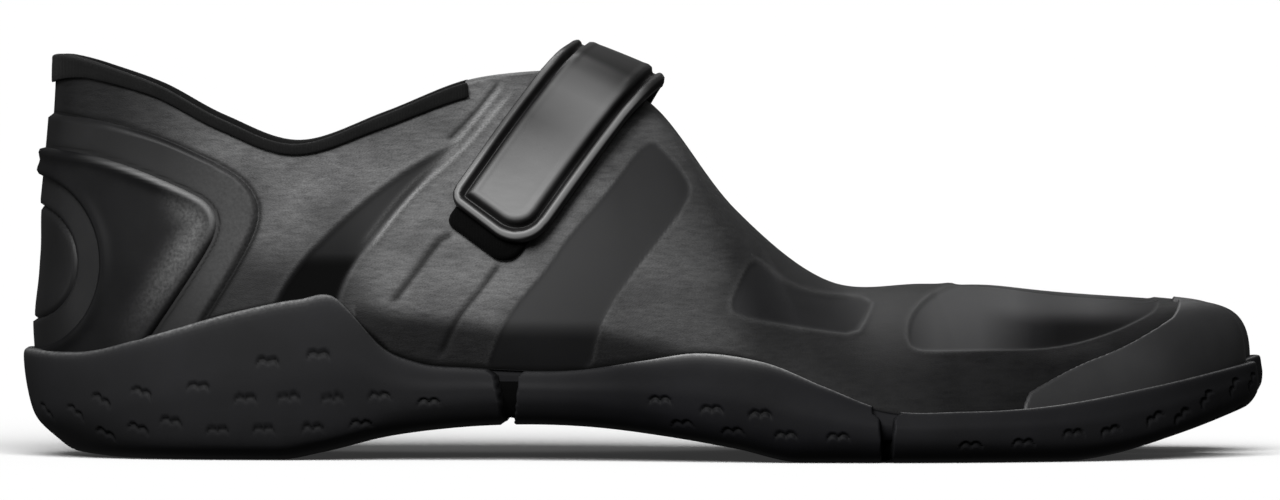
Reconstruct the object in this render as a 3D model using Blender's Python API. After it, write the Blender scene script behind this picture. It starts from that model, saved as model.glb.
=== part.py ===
"""Split-toe sneaker for the right foot: a hollow stretch upper with two toe pockets in a rubber cup sole,
closed by one moulded strap over the instep. Millimetres in the tables, metres in the meshes.
+X points to the toe, +Y to the inner (big toe) side, +Z up. The sole stands on z = 0."""

import math
from collections import namedtuple

import bmesh
import bpy
import numpy as np
from mathutils import Vector
from mathutils.bvhtree import BVHTree

MM = 0.001
MIDDLE = (-0.09, -1.84, 0.0)  # middle of the whole shoe in the tables' own frame, moved to the origin

# Driving dimensions, in millimetres.
GAP = 0.3  # clearance between pieces that meet
CUP_GAP = 0.55  # clearance of the sole's curved wall round the upper
UPPER_WALL = 2.4  # stretch upper
INSOLE_THICK = 3.0
OUTSIDE = 90.0  # a distance to the side that is clear of the shoe
SAMPLES_PER_SPAN = 2  # points round the outline between two table rows
RIB_STEPS = 9  # points up each rib of the upper, closer together near the sole
RIB_CROWDING = 1.15
RIB_SHARES = (np.arange(RIB_STEPS + 1) / RIB_STEPS) ** RIB_CROWDING
WELD = 0.02  # points nearer than this are one point
SHARP_ANGLE = math.radians(40)  # edges steeper than this are shown sharp

# Station numbers along the foot: heel, collar front, start of the toe split, toe tips.
HEEL, COLLAR_FRONT, BRANCH, TIP = 0, 9, 13, 18
LOOP_SPANS = 2 * TIP + 2 * (TIP - BRANCH)
ROOT = TIP + (TIP - BRANCH)

# The last, heel to toe split. x, outer and inner: edge of the foot's bottom. top_*: the collar edge on both
# sides, or the ridge over the instep, where both sides meet. roof: 0 where the wall ends upright, 1 where
# it arches over. rise and reach: how far the wall climbs before it turns, and how flat it arrives.
# bulge_*: how far it swells outwards on the way.
UPRIGHT_HANDLE = 0.36  # share of the height over which an upright wall stays upright
Main = namedtuple(
    "Main", "x outer inner top_x top_z top_outer top_inner roof rise reach bulge_out bulge_in"
)
MAIN = [
    Main(-132.0, 0.0, 0.0, -135.0, 91.2, 0.0, 0.0, 0.0, 0.16, 0.40, 14.0, 14.0),
    Main(-126.5, -13.2, 13.0, -131.8, 90.9, -9.5, 9.5, 0.0, 0.18, 0.40, 12.0, 12.0),
    Main(-116.0, -22.8, 22.0, -124.0, 88.8, -17.5, 17.5, 0.0, 0.24, 0.40, 8.0, 8.0),
    Main(-102.0, -28.2, 26.8, -111.0, 84.2, -22.8, 22.6, 0.0, 0.34, 0.40, 5.0, 5.4),
    Main(-84.0, -30.6, 28.0, -96.5, 76.6, -26.0, 25.6, 0.0, 0.40, 0.40, 4.0, 5.0),
    Main(-66.0, -32.0, 26.8, -79.5, 71.0, -27.4, 27.0, 0.0, 0.42, 0.40, 4.0, 5.6),
    Main(-48.0, -33.8, 25.4, -60.0, 77.5, -26.2, 26.0, 0.1, 0.42, 0.42, 4.2, 6.4),
    Main(-29.0, -36.6, 25.2, -40.8, 85.0, -21.5, 22.0, 0.35, 0.42, 0.45, 4.4, 6.4),
    Main(-11.0, -40.2, 28.0, -22.5, 87.8, -12.0, 13.5, 0.8, 0.42, 0.48, 4.2, 5.4),
    Main(7.0, -44.2, 33.2, -17.0, 87.8, 1.5, 1.5, 1.0, 0.42, 0.48, 3.0, 3.8),
    Main(24.0, -47.4, 38.6, 1.5, 80.4, 3.0, 3.0, 1.0, 0.42, 0.46, 1.8, 2.4),
    Main(40.0, -49.2, 42.4, 20.5, 56.4, 6.0, 6.0, 1.0, 0.42, 0.44, 1.0, 1.6),
    Main(56.0, -49.4, 44.2, 42.0, 39.8, 9.5, 9.5, 1.0, 0.45, 0.46, 0.6, 1.0),
    Main(72.0, -47.6, 44.8, 64.0, 39.0, 12.5, 12.5, 1.0, 0.50, 0.50, 0.4, 0.6),
]

# The two toe pockets, from the split to the tips. x and outer: the free side. cleft_x and cleft: the wall
# in the split. crest_x, crest and crest_z: the top line.
Lobe = namedtuple("Lobe", "x outer cleft_x cleft crest_x crest crest_z rise reach bulge")
SMALL_TOES = [
    Lobe(88.0, -43.4, 89.0, 9.6, 80.5, 2.5, 38.3, 0.56, 0.54, 0.4),
    Lobe(104.0, -36.6, 104.5, 9.0, 96.5, -3.5, 37.0, 0.62, 0.58, 0.5),
    Lobe(119.0, -27.6, 119.0, 7.8, 111.5, -6.0, 36.2, 0.68, 0.64, 0.6),
    Lobe(131.0, -15.2, 130.5, 4.6, 122.5, -6.2, 35.4, 0.74, 0.70, 0.7),
    Lobe(136.6, -4.2, 136.6, -4.2, 128.0, -5.6, 34.6, 0.78, 0.74, 1.2),
]
BIG_TOE = [
    Lobe(88.0, 45.6, 89.0, 14.8, 81.0, 23.5, 38.3, 0.56, 0.54, 0.4),
    Lobe(104.0, 45.6, 105.0, 15.0, 97.5, 28.5, 37.0, 0.62, 0.58, 0.5),
    Lobe(120.0, 43.4, 120.5, 15.8, 113.0, 29.6, 36.0, 0.68, 0.64, 0.6),
    Lobe(133.0, 37.6, 132.5, 18.6, 125.0, 29.2, 34.8, 0.74, 0.70, 0.7),
    Lobe(138.6, 28.0, 138.6, 28.0, 130.0, 28.6, 33.8, 0.78, 0.74, 1.4),
]
SPLIT_ROOT = (77.5, 12.4)
CLEFT_RISE, CLEFT_REACH = 0.66, 0.60

# The sole, station by station: its walls at foot level and at the lip, and its rounded lower edge.
Rim = namedtuple("Rim", "station base_wall lip_wall edge_in edge_up")
RIMS = [
    Rim(0, 5.0, 3.2, 13.0, 9.0),
    Rim(1.5, 4.8, 3.0, 12.0, 9.5),
    Rim(3, 4.2, 2.4, 10.0, 10.5),
    Rim(9, 3.4, 1.9, 8.5, 11.0),
    Rim(13, 3.3, 1.8, 8.0, 9.0),
    Rim(16, 3.2, 1.9, 8.0, 8.0),
    Rim(18, 3.3, 2.2, 7.0, 9.0),
]
CLEFT_RIM = Rim(None, 1.3, 1.1, 1.6, 3.0)
CLEFT_LIP_RISE = 2.6  # height of the sole's wall over the foot bed inside the split
RIM_EASE = 2.0  # stations from the toe tips over which the sole's sizes change to those of the split
LIP_EASE = 2.5
INNER_WALL_PARTS = (0.25, 0.5, 0.75, 1.0)  # heights of the wall's rings, as shares of the lip's height
OUTER_WALL_PARTS = (0.93, 0.62, 0.3)
LIP_FLAT = 0.6  # share of the lip's wall that is flat on top
EDGE_ANGLES = (25, 55, 90)  # rings round the lower edge, in degrees
EDGE_SQUASH = 0.8
EDGE_MOST = 0.85  # the lower edge takes this share of the wall's height at most

# Side profile of the sole along x: underside, foot bed above it, and the waved lip of its wall.
Level = namedtuple("Level", "x z")
UNDERSIDE = [
    Level(-143, 0), Level(-73, 0), Level(-60, 4.4), Level(-46, 6.8), Level(-30, 8.2), Level(-14, 7.8),
    Level(4, 5.7), Level(20, 3.0), Level(35, 0), Level(96, 0), Level(108, 1.4), Level(122, 5.2),
    Level(143, 12.6),
]
BED_THICK = [Level(-143, 7.0), Level(-40, 6.4), Level(40, 5.4), Level(143, 5.0)]
LIP = [
    Level(-143, 25.4), Level(-126, 24.6), Level(-112, 28.2), Level(-92, 33.8), Level(-79, 36.3),
    Level(-70, 36.6), Level(-66, 32.6), Level(-60, 26.0), Level(-52, 22.4), Level(-40, 21.2),
    Level(-16, 20.8), Level(0, 23.0), Level(12, 24.5), Level(26, 22.4), Level(40, 16.6), Level(53, 11.6),
    Level(72, 11.0), Level(92, 12.4), Level(114, 16.4), Level(128, 19.6), Level(143, 23.2),
]

# Flex grooves across the sole: place and width at the lip and underneath, depth from the side and below.
Groove = namedtuple("Groove", "lip_x lip_width under_x under_width side_depth under_depth")
GROOVES = [Groove(-31.8, 6.0, -31.2, 2.4, 5.0, 1.8), Groove(54.6, 3.4, 54.6, 2.4, 5.0, 1.8)]

GROOVE_OVERRUN = 5.0  # how far the grooves' cutters run past the sole

# Tread scoops in the rounded side of the sole, in rows between two places of the side view.
ScoopRow = namedtuple("ScoopRow", "x z end_x end_z count")
SCOOP_ROWS = [
    ScoopRow(-85.7, 22.7, -74.3, 23.6, 2),
    ScoopRow(-124.0, 13.5, -49.4, 13.6, 8),
    ScoopRow(-107.9, 8.9, -64.7, 8.2, 5),
    ScoopRow(3.1, 14.0, 26.0, 11.0, 3),
    ScoopRow(8.1, 8.7, 43.6, 6.0, 4),
    ScoopRow(73.6, 4.2, 96.9, 6.4, 3),
    ScoopRow(105.4, 7.6, 134.3, 16.0, 5),
]
SCOOP_SIZE = (5.2, 3.8, 0.9)  # along the sole, up its side, depth under its upper edge
SCOOP_OVERRUN = 1.0
# Outline of a scoop: a straight lower edge and two humps above it, in shares of its length and height.
SCOOP_OUTLINE = [
    (-0.5, -0.5), (0.5, -0.5), (0.5, 0.1), (0.28, 0.5), (0.0, 0.2), (-0.28, 0.5), (-0.5, 0.1),
]

# Collar binding: tape thickness, and its height at the heel and at the sides, up to its square front ends.
BINDING_TAPE = 0.6
BINDING_HEIGHT = [Level(0, 5.6), Level(1.4, 4.2), Level(3, 3.0), Level(7, 2.8)]
BINDING_END_STATION = 7

# Overlays, as (inner, outer) distance from the upper, and their outlines in the side view (x, z).
COUNTER_BASE_SKIN = (0.3, 1.2)
COUNTER_TOP_SKIN = (1.5, 2.5)
HEEL_DISC_SKIN = (0.3, 0.8)
TOE_CAP_SKIN = (0.3, 0.9)
COUNTER_BASE_EDGE = [
    (-160, 80), (-128, 78), (-112, 74), (-96, 66.8), (-90, 62.4), (-87.4, 56), (-91, 47), (-106, 23),
    (-116, 0),
]
COUNTER_TOP_EDGE = [
    (-160, 72.6), (-130, 70.6), (-118, 67.4), (-102, 60.6), (-98, 57.4), (-96.8, 53), (-99.5, 46.6),
    (-118, 19), (-130, 0),
]
HEEL_OVAL_CENTRE = (-141.0, 44.6)
COUNTER_TOP_OVAL = (17.0, 19.6)  # half length and half height of the opening in the top layer
COUNTER_BASE_OVAL = (11.6, 13.2)
TOE_CAP_EDGE = [
    (84, 0), (85.3, 15.1), (89.5, 17.6), (98, 22), (108, 25.5), (117, 30.4), (121.4, 33.2), (124, 48),
]
OVERLAY_LIP_GAP = 0.5
LIP_ROOM = (-2.0, 0.5, 1.3)  # the room under the lip: inside, outside, and its growth with the sole's wall
LIP_ROOM_INSET = 6.0
LIP_ROOM_FLOOR = -20.0

# The strap: a band in slanted planes, leaning forwards. Lengths run from its crest down each side.
STRAP_TILT = math.radians(54.0)
STRAP_CREST = (-6.6, 2.0, 91.3)
STRAP_DEPTH = 38.0  # from the crest down to the middle that the band is wrapped around
STRAP_WIDTH = 22.5
STRAP_THICK = 2.2
STRAP_PANEL_RISE = 1.2
STRAP_PANEL_INSET = (2.4, 3.2)  # from the edge to the foot and to the top of the panel's step
STRAP_DROP = 49.0  # how far its free end hangs below the crest, along the lean
STRAP_CORNERS = (3.5, 9.0)  # at the rear and at the front of the free end
STRAP_MEDIAL = 50.0
STRAP_STEPS = 20
# The strap's height off the upper and its drift towards the toe, from the free end to the sewn end.
STRAP_STANDOFF = [Level(-60, 2.4), Level(-30, 2.6), Level(0, 4.2), Level(30, 1.8), Level(60, 0.5)]
STRAP_DRIFT = [Level(-60, -0.6), Level(-24, -0.6), Level(0, 2.2), Level(60, 2.2)]
HOOK_TAPE_SKIN = (0.4, 1.9)
HOOK_TAPE_TOP = -26.0
HOOK_TAPE_DROP = 53.0
HOOK_TAPE_WIDTH = 18.0
HOOK_TAPE_CORNERS = (2.0, 5.0)
WRAP_HALF_WIDTH, WRAP_LINES = 0.55, 9  # lines across the band, as a share of its width, to feel the upper
WRAP_ANGLES = np.radians(np.arange(-132, 133, 4))  # round its path, from the crest
WRAP_SOFTENING = np.array([1, 2, 3, 2, 1]) / 9
WRAP_NORMAL_STEP = 1.5

Finish = namedtuple("Finish", "colour roughness")
FINISHES = {
    "knit": Finish((0.030, 0.030, 0.031), 0.75),
    "rubber": Finish((0.016, 0.016, 0.018), 0.48),
    "moulded": Finish((0.020, 0.019, 0.020), 0.32),
    "film": Finish((0.022, 0.022, 0.022), 0.60),
    "tape": Finish((0.006, 0.006, 0.006), 0.80),
    "foam": Finish((0.024, 0.024, 0.025), 0.90),
}


def closed_spline(values, u):
    """Catmull-Rom through the rows of values, round a closed loop."""
    count = len(values)
    first = np.floor(u).astype(int)
    f = (u - first)[..., None]
    before, a, b, after = (values[(first + step) % count] for step in (-1, 0, 1, 2))
    slope_a, slope_b = (b - before) / 2, (after - a) / 2
    return (
        a * (1 + 2 * f) * (1 - f) ** 2 + slope_a * f * (1 - f) ** 2
        + b * f**2 * (3 - 2 * f) - slope_b * f**2 * (1 - f)
    )


def open_spline(values, t):
    """Catmull-Rom through the rows of values, from the first (t = 0) to the last."""
    ends = np.vstack([2 * values[0] - values[1], values, 2 * values[-1] - values[-2]])
    first = np.clip(np.floor(t).astype(int), 0, len(values) - 2)
    f = (t - first)[..., None]
    before, a, b, after = (ends[first + step] for step in range(4))
    slope_a, slope_b = (b - before) / 2, (after - a) / 2
    return (
        a * (1 + 2 * f) * (1 - f) ** 2 + slope_a * f * (1 - f) ** 2
        + b * f**2 * (3 - 2 * f) - slope_b * f**2 * (1 - f)
    )


def along(levels, x):
    """A smooth side profile through a short table of levels."""
    xs = np.array([level.x for level in levels], float)
    zs = np.array([level.z for level in levels], float)
    slopes = np.gradient(zs, xs)
    flat = np.isclose(np.diff(zs), 0)
    slopes[:-1][flat] = 0
    slopes[1:][flat] = 0
    i = np.clip(np.searchsorted(xs, x) - 1, 0, len(xs) - 2)
    step = xs[i + 1] - xs[i]
    f = np.clip((x - xs[i]) / step, 0, 1)
    return (
        zs[i] * (1 + 2 * f) * (1 - f) ** 2 + slopes[i] * step * f * (1 - f) ** 2
        + zs[i + 1] * f**2 * (3 - 2 * f) - slopes[i + 1] * step * f**2 * (1 - f)
    )


def bed_height(x):
    return along(UNDERSIDE, x) + along(BED_THICK, x)


def loop_rows():
    """The outline's control rows in order: outer side, split, inner side.

    Columns: x, y, rise, reach, bulge, roof."""
    outer = [(r.x, r.outer, r.rise, r.reach, r.bulge_out, r.roof) for r in MAIN]
    outer += [(r.x, r.outer, r.rise, r.reach, r.bulge, 1) for r in SMALL_TOES]
    small_wall = [(r.cleft_x, r.cleft, CLEFT_RISE, CLEFT_REACH, 0, 1) for r in SMALL_TOES[:-1]]
    big_wall = [(r.cleft_x, r.cleft, CLEFT_RISE, CLEFT_REACH, 0, 1) for r in BIG_TOE[:-1]]
    root = [(*SPLIT_ROOT, CLEFT_RISE, CLEFT_REACH, 0, 1)]
    inner = [(r.x, r.inner, r.rise, r.reach, r.bulge_in, r.roof) for r in MAIN[1:]]
    inner += [(r.x, r.outer, r.rise, r.reach, r.bulge, 1) for r in BIG_TOE]
    return np.array(outer + small_wall[::-1] + root + big_wall + inner[::-1], float)


ROWS = loop_rows()


def station_of(u):
    """(station, is on the inner side, is in the split) of places round the loop."""
    u = np.mod(u, LOOP_SPANS)
    inner = u > ROOT
    mirrored = np.where(inner, LOOP_SPANS - u, u)
    split = mirrored > TIP
    return np.where(split, 2 * TIP - mirrored, mirrored), inner, split


def top_line(u):
    """Where each rib ends: on the collar, on the ridge, or on the crest of a toe pocket."""
    station, inner, _ = station_of(u)
    points = np.zeros(station.shape + (3,))
    for side, column in ((False, "top_outer"), (True, "top_inner")):
        collar = np.array([(r.top_x, getattr(r, column), r.top_z) for r in MAIN[: COLLAR_FRONT + 1]])
        ridge = np.array([(r.top_x, getattr(r, column), r.top_z) for r in MAIN[COLLAR_FRONT:]])
        lobe = BIG_TOE if side else SMALL_TOES
        crest = np.vstack([ridge[-1:], [(r.crest_x, r.crest, r.crest_z) for r in lobe]])
        spans = ((HEEL, COLLAR_FRONT, collar), (COLLAR_FRONT, BRANCH, ridge), (BRANCH, TIP, crest))
        for low, high, values in spans:
            here = (inner == side) & (station >= low) & (station <= high)
            points[here] = open_spline(values, station[here] - low)
    return points


def plan_normal(u):
    step = 0.02
    tangent = closed_spline(ROWS[:, :2], u + step) - closed_spline(ROWS[:, :2], u - step)
    tangent /= np.linalg.norm(tangent, axis=-1, keepdims=True)
    return np.stack([-tangent[..., 1], tangent[..., 0]], axis=-1) * -1.0


def ridge_slope(u):
    """Fall of the ridge line per step forwards, which all ribs share where they meet."""
    step = 0.05
    station, inner, _ = station_of(u)
    side = np.where(inner, -1.0, 1.0)
    near = np.clip(station, COLLAR_FRONT + step, TIP - step)
    place = np.where(inner, LOOP_SPANS - near, near)
    ahead, behind = top_line(place + side * step), top_line(place - side * step)
    return (ahead[..., 2] - behind[..., 2]) / (ahead[..., 0] - behind[..., 0])


def rib_points(u, v):
    """The upper's outer surface: a rib climbs from the foot bed at v = 0 to the top line at v = 1."""
    x, y, rise, reach, bulge, roof = np.moveaxis(closed_spline(ROWS, u), -1, 0)
    foot = np.stack([x, y, bed_height(x) + GAP], axis=-1)
    top = top_line(u)
    height = (top[..., 2] - foot[..., 2])[..., None]
    out = np.concatenate([plan_normal(u), np.zeros(u.shape + (1,))], axis=-1)
    up = np.array([0.0, 0.0, 1.0])
    low_handle = foot + out * bulge[..., None] + up * (rise[..., None] * height)
    upright = top - up * (UPRIGHT_HANDLE * height)
    across = foot - top
    across[..., 2] = ridge_slope(u) * across[..., 0]
    arched = top + reach[..., None] * across
    weight = np.clip(roof, 0, 1)[..., None]
    high_handle = upright * (1 - weight) + arched * weight
    v = v[..., None]
    return (
        foot * (1 - v) ** 3 + low_handle * 3 * v * (1 - v) ** 2
        + high_handle * 3 * v**2 * (1 - v) + top * v**3
    )


def rib_normals(u, v):
    step = 0.01
    span = rib_points(u + step, v) - rib_points(u - step, v)
    low, high = np.clip(v - step, 0, 1), np.clip(v + step, 0, 1)
    climb = rib_points(u, high) - rib_points(u, low)
    normal = np.cross(span, climb)
    fall = ridge_slope(u)
    ridge = np.stack([-fall, np.zeros(u.shape), np.ones(u.shape)], axis=-1)
    on_ridge = (v > 0.999) & (station_of(u)[0] >= COLLAR_FRONT)
    normal = np.where(on_ridge[..., None], ridge, normal)
    return normal / np.linalg.norm(normal, axis=-1, keepdims=True)


def skin(u, v, distance):
    """The upper's surface moved outwards by a distance."""
    return rib_points(u, v) + rib_normals(u, v) * np.asarray(distance)[..., None]


def rib_share_at(u, z):
    """How far up its rib (0 to 1) each place reaches height z."""
    low, high = np.zeros(u.shape), np.ones(u.shape)
    for _ in range(30):
        middle = (low + high) / 2
        below = rib_points(u, middle)[..., 2] < z
        low, high = np.where(below, middle, low), np.where(below, high, middle)
    return (low + high) / 2


def loop_places():
    return np.arange(LOOP_SPANS * SAMPLES_PER_SPAN) / SAMPLES_PER_SPAN


def patch_places(first, last):
    return np.arange(first * SAMPLES_PER_SPAN, last * SAMPLES_PER_SPAN + 1) / SAMPLES_PER_SPAN


def rungs():
    """Faces that close a loop across the foot, as lists of loop indices, running down both toe pockets."""
    n, tip, branch, root = (spans * SAMPLES_PER_SPAN for spans in (LOOP_SPANS, TIP, BRANCH, ROOT))
    faces = [[0, 1, n - 1]]
    for i in range(1, branch - 1):
        faces.append([i, i + 1, n - i - 1, n - i])
    faces.append([branch - 1, branch, root, n - branch, n - branch + 1])
    for i in range(branch, tip):
        small = [i, i + 1, 2 * tip - i - 1, 2 * tip - i]
        big = [n - index for index in small][::-1]
        for face in (small, big):
            faces.append(list(dict.fromkeys(face)))
    return faces


def material(name):
    found = bpy.data.materials.get(name)
    if found:
        return found
    made = bpy.data.materials.new(name)
    made.use_nodes = True
    shader = made.node_tree.nodes["Principled BSDF"]
    shader.inputs["Base Color"].default_value = (*FINISHES[name].colour, 1)
    shader.inputs["Roughness"].default_value = FINISHES[name].roughness
    shader.inputs["Metallic"].default_value = 0.0
    return made


def solid(name, points, faces, finish, helper=False):
    """One named object from points in millimetres."""
    mesh = bpy.data.meshes.new(name)
    mesh.from_pydata([tuple((float(c) - m) * MM for c, m in zip(p, MIDDLE)) for p in points], [], faces)
    work = bmesh.new()
    work.from_mesh(mesh)
    bmesh.ops.remove_doubles(work, verts=work.verts, dist=WELD * MM)
    bmesh.ops.recalc_face_normals(work, faces=work.faces)
    work.to_mesh(mesh)
    work.free()
    mesh.materials.append(material(finish))
    mesh.shade_smooth()
    mesh.set_sharp_from_angle(angle=SHARP_ANGLE)
    made = bpy.data.objects.new(name, mesh)
    bpy.context.scene.collection.objects.link(made)
    if helper:
        made.hide_render = True
        made.display_type = "WIRE"
    return made


def boolean(target, tool, operation):
    modifier = target.modifiers.new(f"{operation.lower()}_{tool.name}", "BOOLEAN")
    modifier.operation = operation
    modifier.object = tool
    modifier.solver = "EXACT"
    return target


def ring_faces(lower, upper, count, closed=True):
    """Quads between two rings of the same length, given their first indices."""
    last = count if closed else count - 1
    return [[lower + i, lower + (i + 1) % count, upper + (i + 1) % count, upper + i] for i in range(last)]


def layered(name, places, shares, distances, finish, closed=True):
    """A sheet of the upper's own form between two distances from it, closed along its free edges."""
    u, v = np.meshgrid(np.mod(places, LOOP_SPANS), shares)
    n = len(places)
    points, normals = rib_points(u, v).reshape(-1, 3), rib_normals(u, v).reshape(-1, 3)
    sheet = bmesh.new()
    verts = [sheet.verts.new(tuple(p)) for p in points]
    sheet.verts.index_update()
    same = bmesh.ops.find_doubles(sheet, verts=sheet.verts, dist=WELD)["targetmap"]
    target = list(range(len(verts)))
    for vert, kept in same.items():
        target[vert.index] = kept.index
        normals[kept.index] += normals[vert.index]
    sheet.free()
    normals /= np.linalg.norm(normals, axis=1, keepdims=True)
    faces = []
    for row in range(len(shares) - 1):
        for quad in ring_faces(row * n, (row + 1) * n, n, closed):
            corners = list(dict.fromkeys(target[i] for i in quad))
            if len(corners) > 2:
                faces.append(corners)
    edges = {}
    for face in faces:
        for start, end in zip(face, face[1:] + face[:1]):
            edges.setdefault(frozenset((start, end)), []).append((start, end))
    count = len(points)
    near, far = (points + normals * distance for distance in distances)
    both = faces + [[count + i for i in face[::-1]] for face in faces]
    free = [use[0] for use in edges.values() if len(use) == 1]
    both += [[end, start, count + start, count + end] for start, end in free]
    return solid(name, np.vstack([near, far]), both, finish)


def upper():
    """The hollow stretch upper, open at the collar and underneath."""
    return layered("upper", loop_places(), RIB_SHARES, (0.0, -UPPER_WALL), "knit")


def rim_column(column, places):
    """A sole size round the loop: by station outside, thin inside the split, eased at the toe tips."""
    station, _, split = station_of(places)
    stations = [r.station for r in RIMS]
    outside = np.interp(station, stations, [getattr(r, column) for r in RIMS])
    ease = np.clip((TIP - station) / RIM_EASE, 0, 1)
    inside = outside + (getattr(CLEFT_RIM, column) - outside) * ease * ease * (3 - 2 * ease)
    return np.where(split, inside, outside)


def lip_height(places):
    """Height of the sole's lip: the waved side profile at the place where each rib crosses it."""
    station, _, split = station_of(places)
    x = closed_spline(ROWS, places)[..., 0]
    for _ in range(8):
        outside = along(LIP, x)
        x = rib_points(places, rib_share_at(places, outside))[..., 0]
    ease = np.clip((TIP - station) / LIP_EASE, 0, 1)
    low = bed_height(x) + CLEFT_LIP_RISE
    return np.where(split, outside + (low - outside) * ease * ease * (3 - 2 * ease), outside)


def sole_rings(places):
    """Rings of the cup sole: from the foot bed up its inner wall, over the lip and down round the edge."""
    foot = rib_points(places, np.zeros(len(places)))
    normal = plan_normal(places)
    under = along(UNDERSIDE, foot[:, 0])
    lip_share = rib_share_at(places, lip_height(places))
    base_wall, lip_wall = rim_column("base_wall", places), rim_column("lip_wall", places)
    edge_in = rim_column("edge_in", places)
    edge_up = np.minimum(rim_column("edge_up", places), EDGE_MOST * (lip_height(places) - under))
    bed = skin(places, np.zeros(len(places)), np.full(len(places), CUP_GAP))
    bed[:, 2] = bed_height(foot[:, 0])
    rings = [bed]
    for part in INNER_WALL_PARTS:
        rings.append(skin(places, lip_share * part, np.full(len(places), CUP_GAP)))
    rings.append(skin(places, lip_share, CUP_GAP + LIP_FLAT * lip_wall))
    for part in OUTER_WALL_PARTS:
        wall = lip_wall + (base_wall - lip_wall) * (1 - part)
        rings.append(skin(places, lip_share * part, CUP_GAP + wall))
    widest = skin(places, np.zeros(len(places)), CUP_GAP + base_wall)
    for angle in EDGE_ANGLES:
        turn = math.radians(angle)
        ring = widest.copy()
        ring[:, :2] -= normal * (edge_in * (1 - math.cos(turn)))[:, None]
        ring[:, 2] = under + edge_up * (1 - math.sin(turn)) * EDGE_SQUASH
        rings.append(ring)
    return rings


def outsole():
    """The cup sole, with its tread scoops and its two flex grooves cut from it."""
    places = loop_places()
    n = len(places)
    rings = sole_rings(places)
    points = np.vstack(rings)
    faces = [face[::-1] for face in rungs()]
    for i in range(len(rings) - 1):
        faces += ring_faces(i * n, (i + 1) * n, n)
    last = (len(rings) - 1) * n
    faces += [[last + i for i in face] for face in rungs()]
    made = solid("outsole", points, faces, "rubber")
    boolean(made, scoops(BVHTree.FromPolygons(points.tolist(), faces)), "DIFFERENCE")
    for number, groove in enumerate(GROOVES, 1):
        for cutter in groove_cutters(number, groove):
            boolean(made, cutter, "DIFFERENCE")
    return made


def scoops(surface):
    """All the tread scoops as one cutter: wedges that are deepest under their humped upper edge."""
    points, faces = [], []
    n = len(SCOOP_OUTLINE)
    wedge = [list(range(n))[::-1], list(range(n, 2 * n))] + ring_faces(0, n, n)
    length, tall, depth = SCOOP_SIZE
    for row in SCOOP_ROWS:
        for x, z in zip(np.linspace(row.x, row.end_x, row.count), np.linspace(row.z, row.end_z, row.count)):
            for side in (-1, 1):
                start = Vector((x, side * OUTSIDE, z))
                place, normal, _, _ = surface.ray_cast(start, Vector((0, -side, 0)))
                if place is None:
                    continue
                normal = normal if normal.y * side > 0 else -normal
                ahead = Vector((0, 0, 1)).cross(normal).normalized()
                up = normal.cross(ahead)
                faces += [[len(points) + i for i in face] for face in wedge]
                for outside in (False, True):
                    for a, b in SCOOP_OUTLINE:
                        level = SCOOP_OVERRUN if outside else -depth * (b + 0.5)
                        points.append(place + ahead * (a * length) + up * (b * tall) + normal * level)
    return solid("scoops", points, faces, "rubber", helper=True)


def groove_cutters(number, groove):
    """A shallow slot under the sole, and a notch through its wall on each side."""
    xs = [row.x for row in MAIN]
    outer = np.interp(groove.lip_x, xs, [row.outer for row in MAIN])
    inner = np.interp(groove.lip_x, xs, [row.inner for row in MAIN])
    under = float(along(UNDERSIDE, np.array([groove.under_x]))[0])
    lip = float(along(LIP, np.array([groove.lip_x]))[0])
    low, high = groove.under_width / 2, groove.lip_width / 2
    bottom, top = -GROOVE_OVERRUN, lip + GROOVE_OVERRUN
    notch = [
        (groove.under_x - low, bottom), (groove.under_x + low, bottom), (groove.under_x + low, under),
        (groove.lip_x + high, top), (groove.lip_x - high, top), (groove.under_x - low, under),
    ]
    ceiling = under + groove.under_depth
    slot = [
        (groove.under_x - low, bottom), (groove.under_x + low, bottom),
        (groove.under_x + low, ceiling), (groove.under_x - low, ceiling),
    ]
    return [
        prism(f"groove_{number}_under", slot),
        prism(f"groove_{number}_outer", notch, -OUTSIDE, outer + groove.side_depth),
        prism(f"groove_{number}_inner", notch, inner - groove.side_depth, OUTSIDE),
    ]


def insole():
    """A flat foam sheet on the foot bed, inside the upper's wall."""
    places = loop_places()
    n = len(places)
    edge = skin(places, np.zeros(n), np.full(n, -(UPPER_WALL + GAP + 0.2)))
    edge[:, 2] = bed_height(edge[:, 0]) + GAP
    top = edge + np.array([0, 0, INSOLE_THICK])
    faces = [face[::-1] for face in rungs()] + ring_faces(0, n, n)
    faces += [[n + i for i in face] for face in rungs()]
    return solid("insole", np.vstack([edge, top]), faces, "foam")


def collar_binding():
    """A folded tape over the collar edge, from one side's front end round the heel to the other's."""
    half = BINDING_END_STATION * SAMPLES_PER_SPAN
    places = np.arange(-half, half + 1) / SAMPLES_PER_SPAN
    wrapped = np.mod(places, LOOP_SPANS)
    n = len(places)
    station = np.abs(places)
    height = np.interp(station, [row.x for row in BINDING_HEIGHT], [row.z for row in BINDING_HEIGHT])
    top = rib_points(wrapped, np.ones(n))
    low_share = rib_share_at(wrapped, top[:, 2] - height)
    up = top - rib_points(wrapped, np.full(n, 0.97))
    up /= np.linalg.norm(up, axis=1, keepdims=True)
    inside = UPPER_WALL + GAP
    clear, thick = GAP, GAP + BINDING_TAPE
    section = [
        (low_share, clear, 0), (low_share, thick, 0), (None, thick, thick),
        (None, -inside - BINDING_TAPE, thick), (low_share, -inside - BINDING_TAPE, 0),
        (low_share, -inside, 0), (None, -inside, clear), (None, clear, clear),
    ]
    rails = []
    for share, distance, lift in section:
        share = np.ones(n) if share is None else share
        rails.append(skin(wrapped, share, np.full(n, distance)) + up * lift)
    points = np.vstack(rails)
    count = len(rails)
    faces = [list(range(0, count * n, n)), list(range(n - 1, count * n, n))[::-1]]
    for rail in range(count):
        faces += ring_faces(rail * n, ((rail + 1) % count) * n, n, closed=False)
    return solid("collar_binding", points, faces, "tape")


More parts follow.
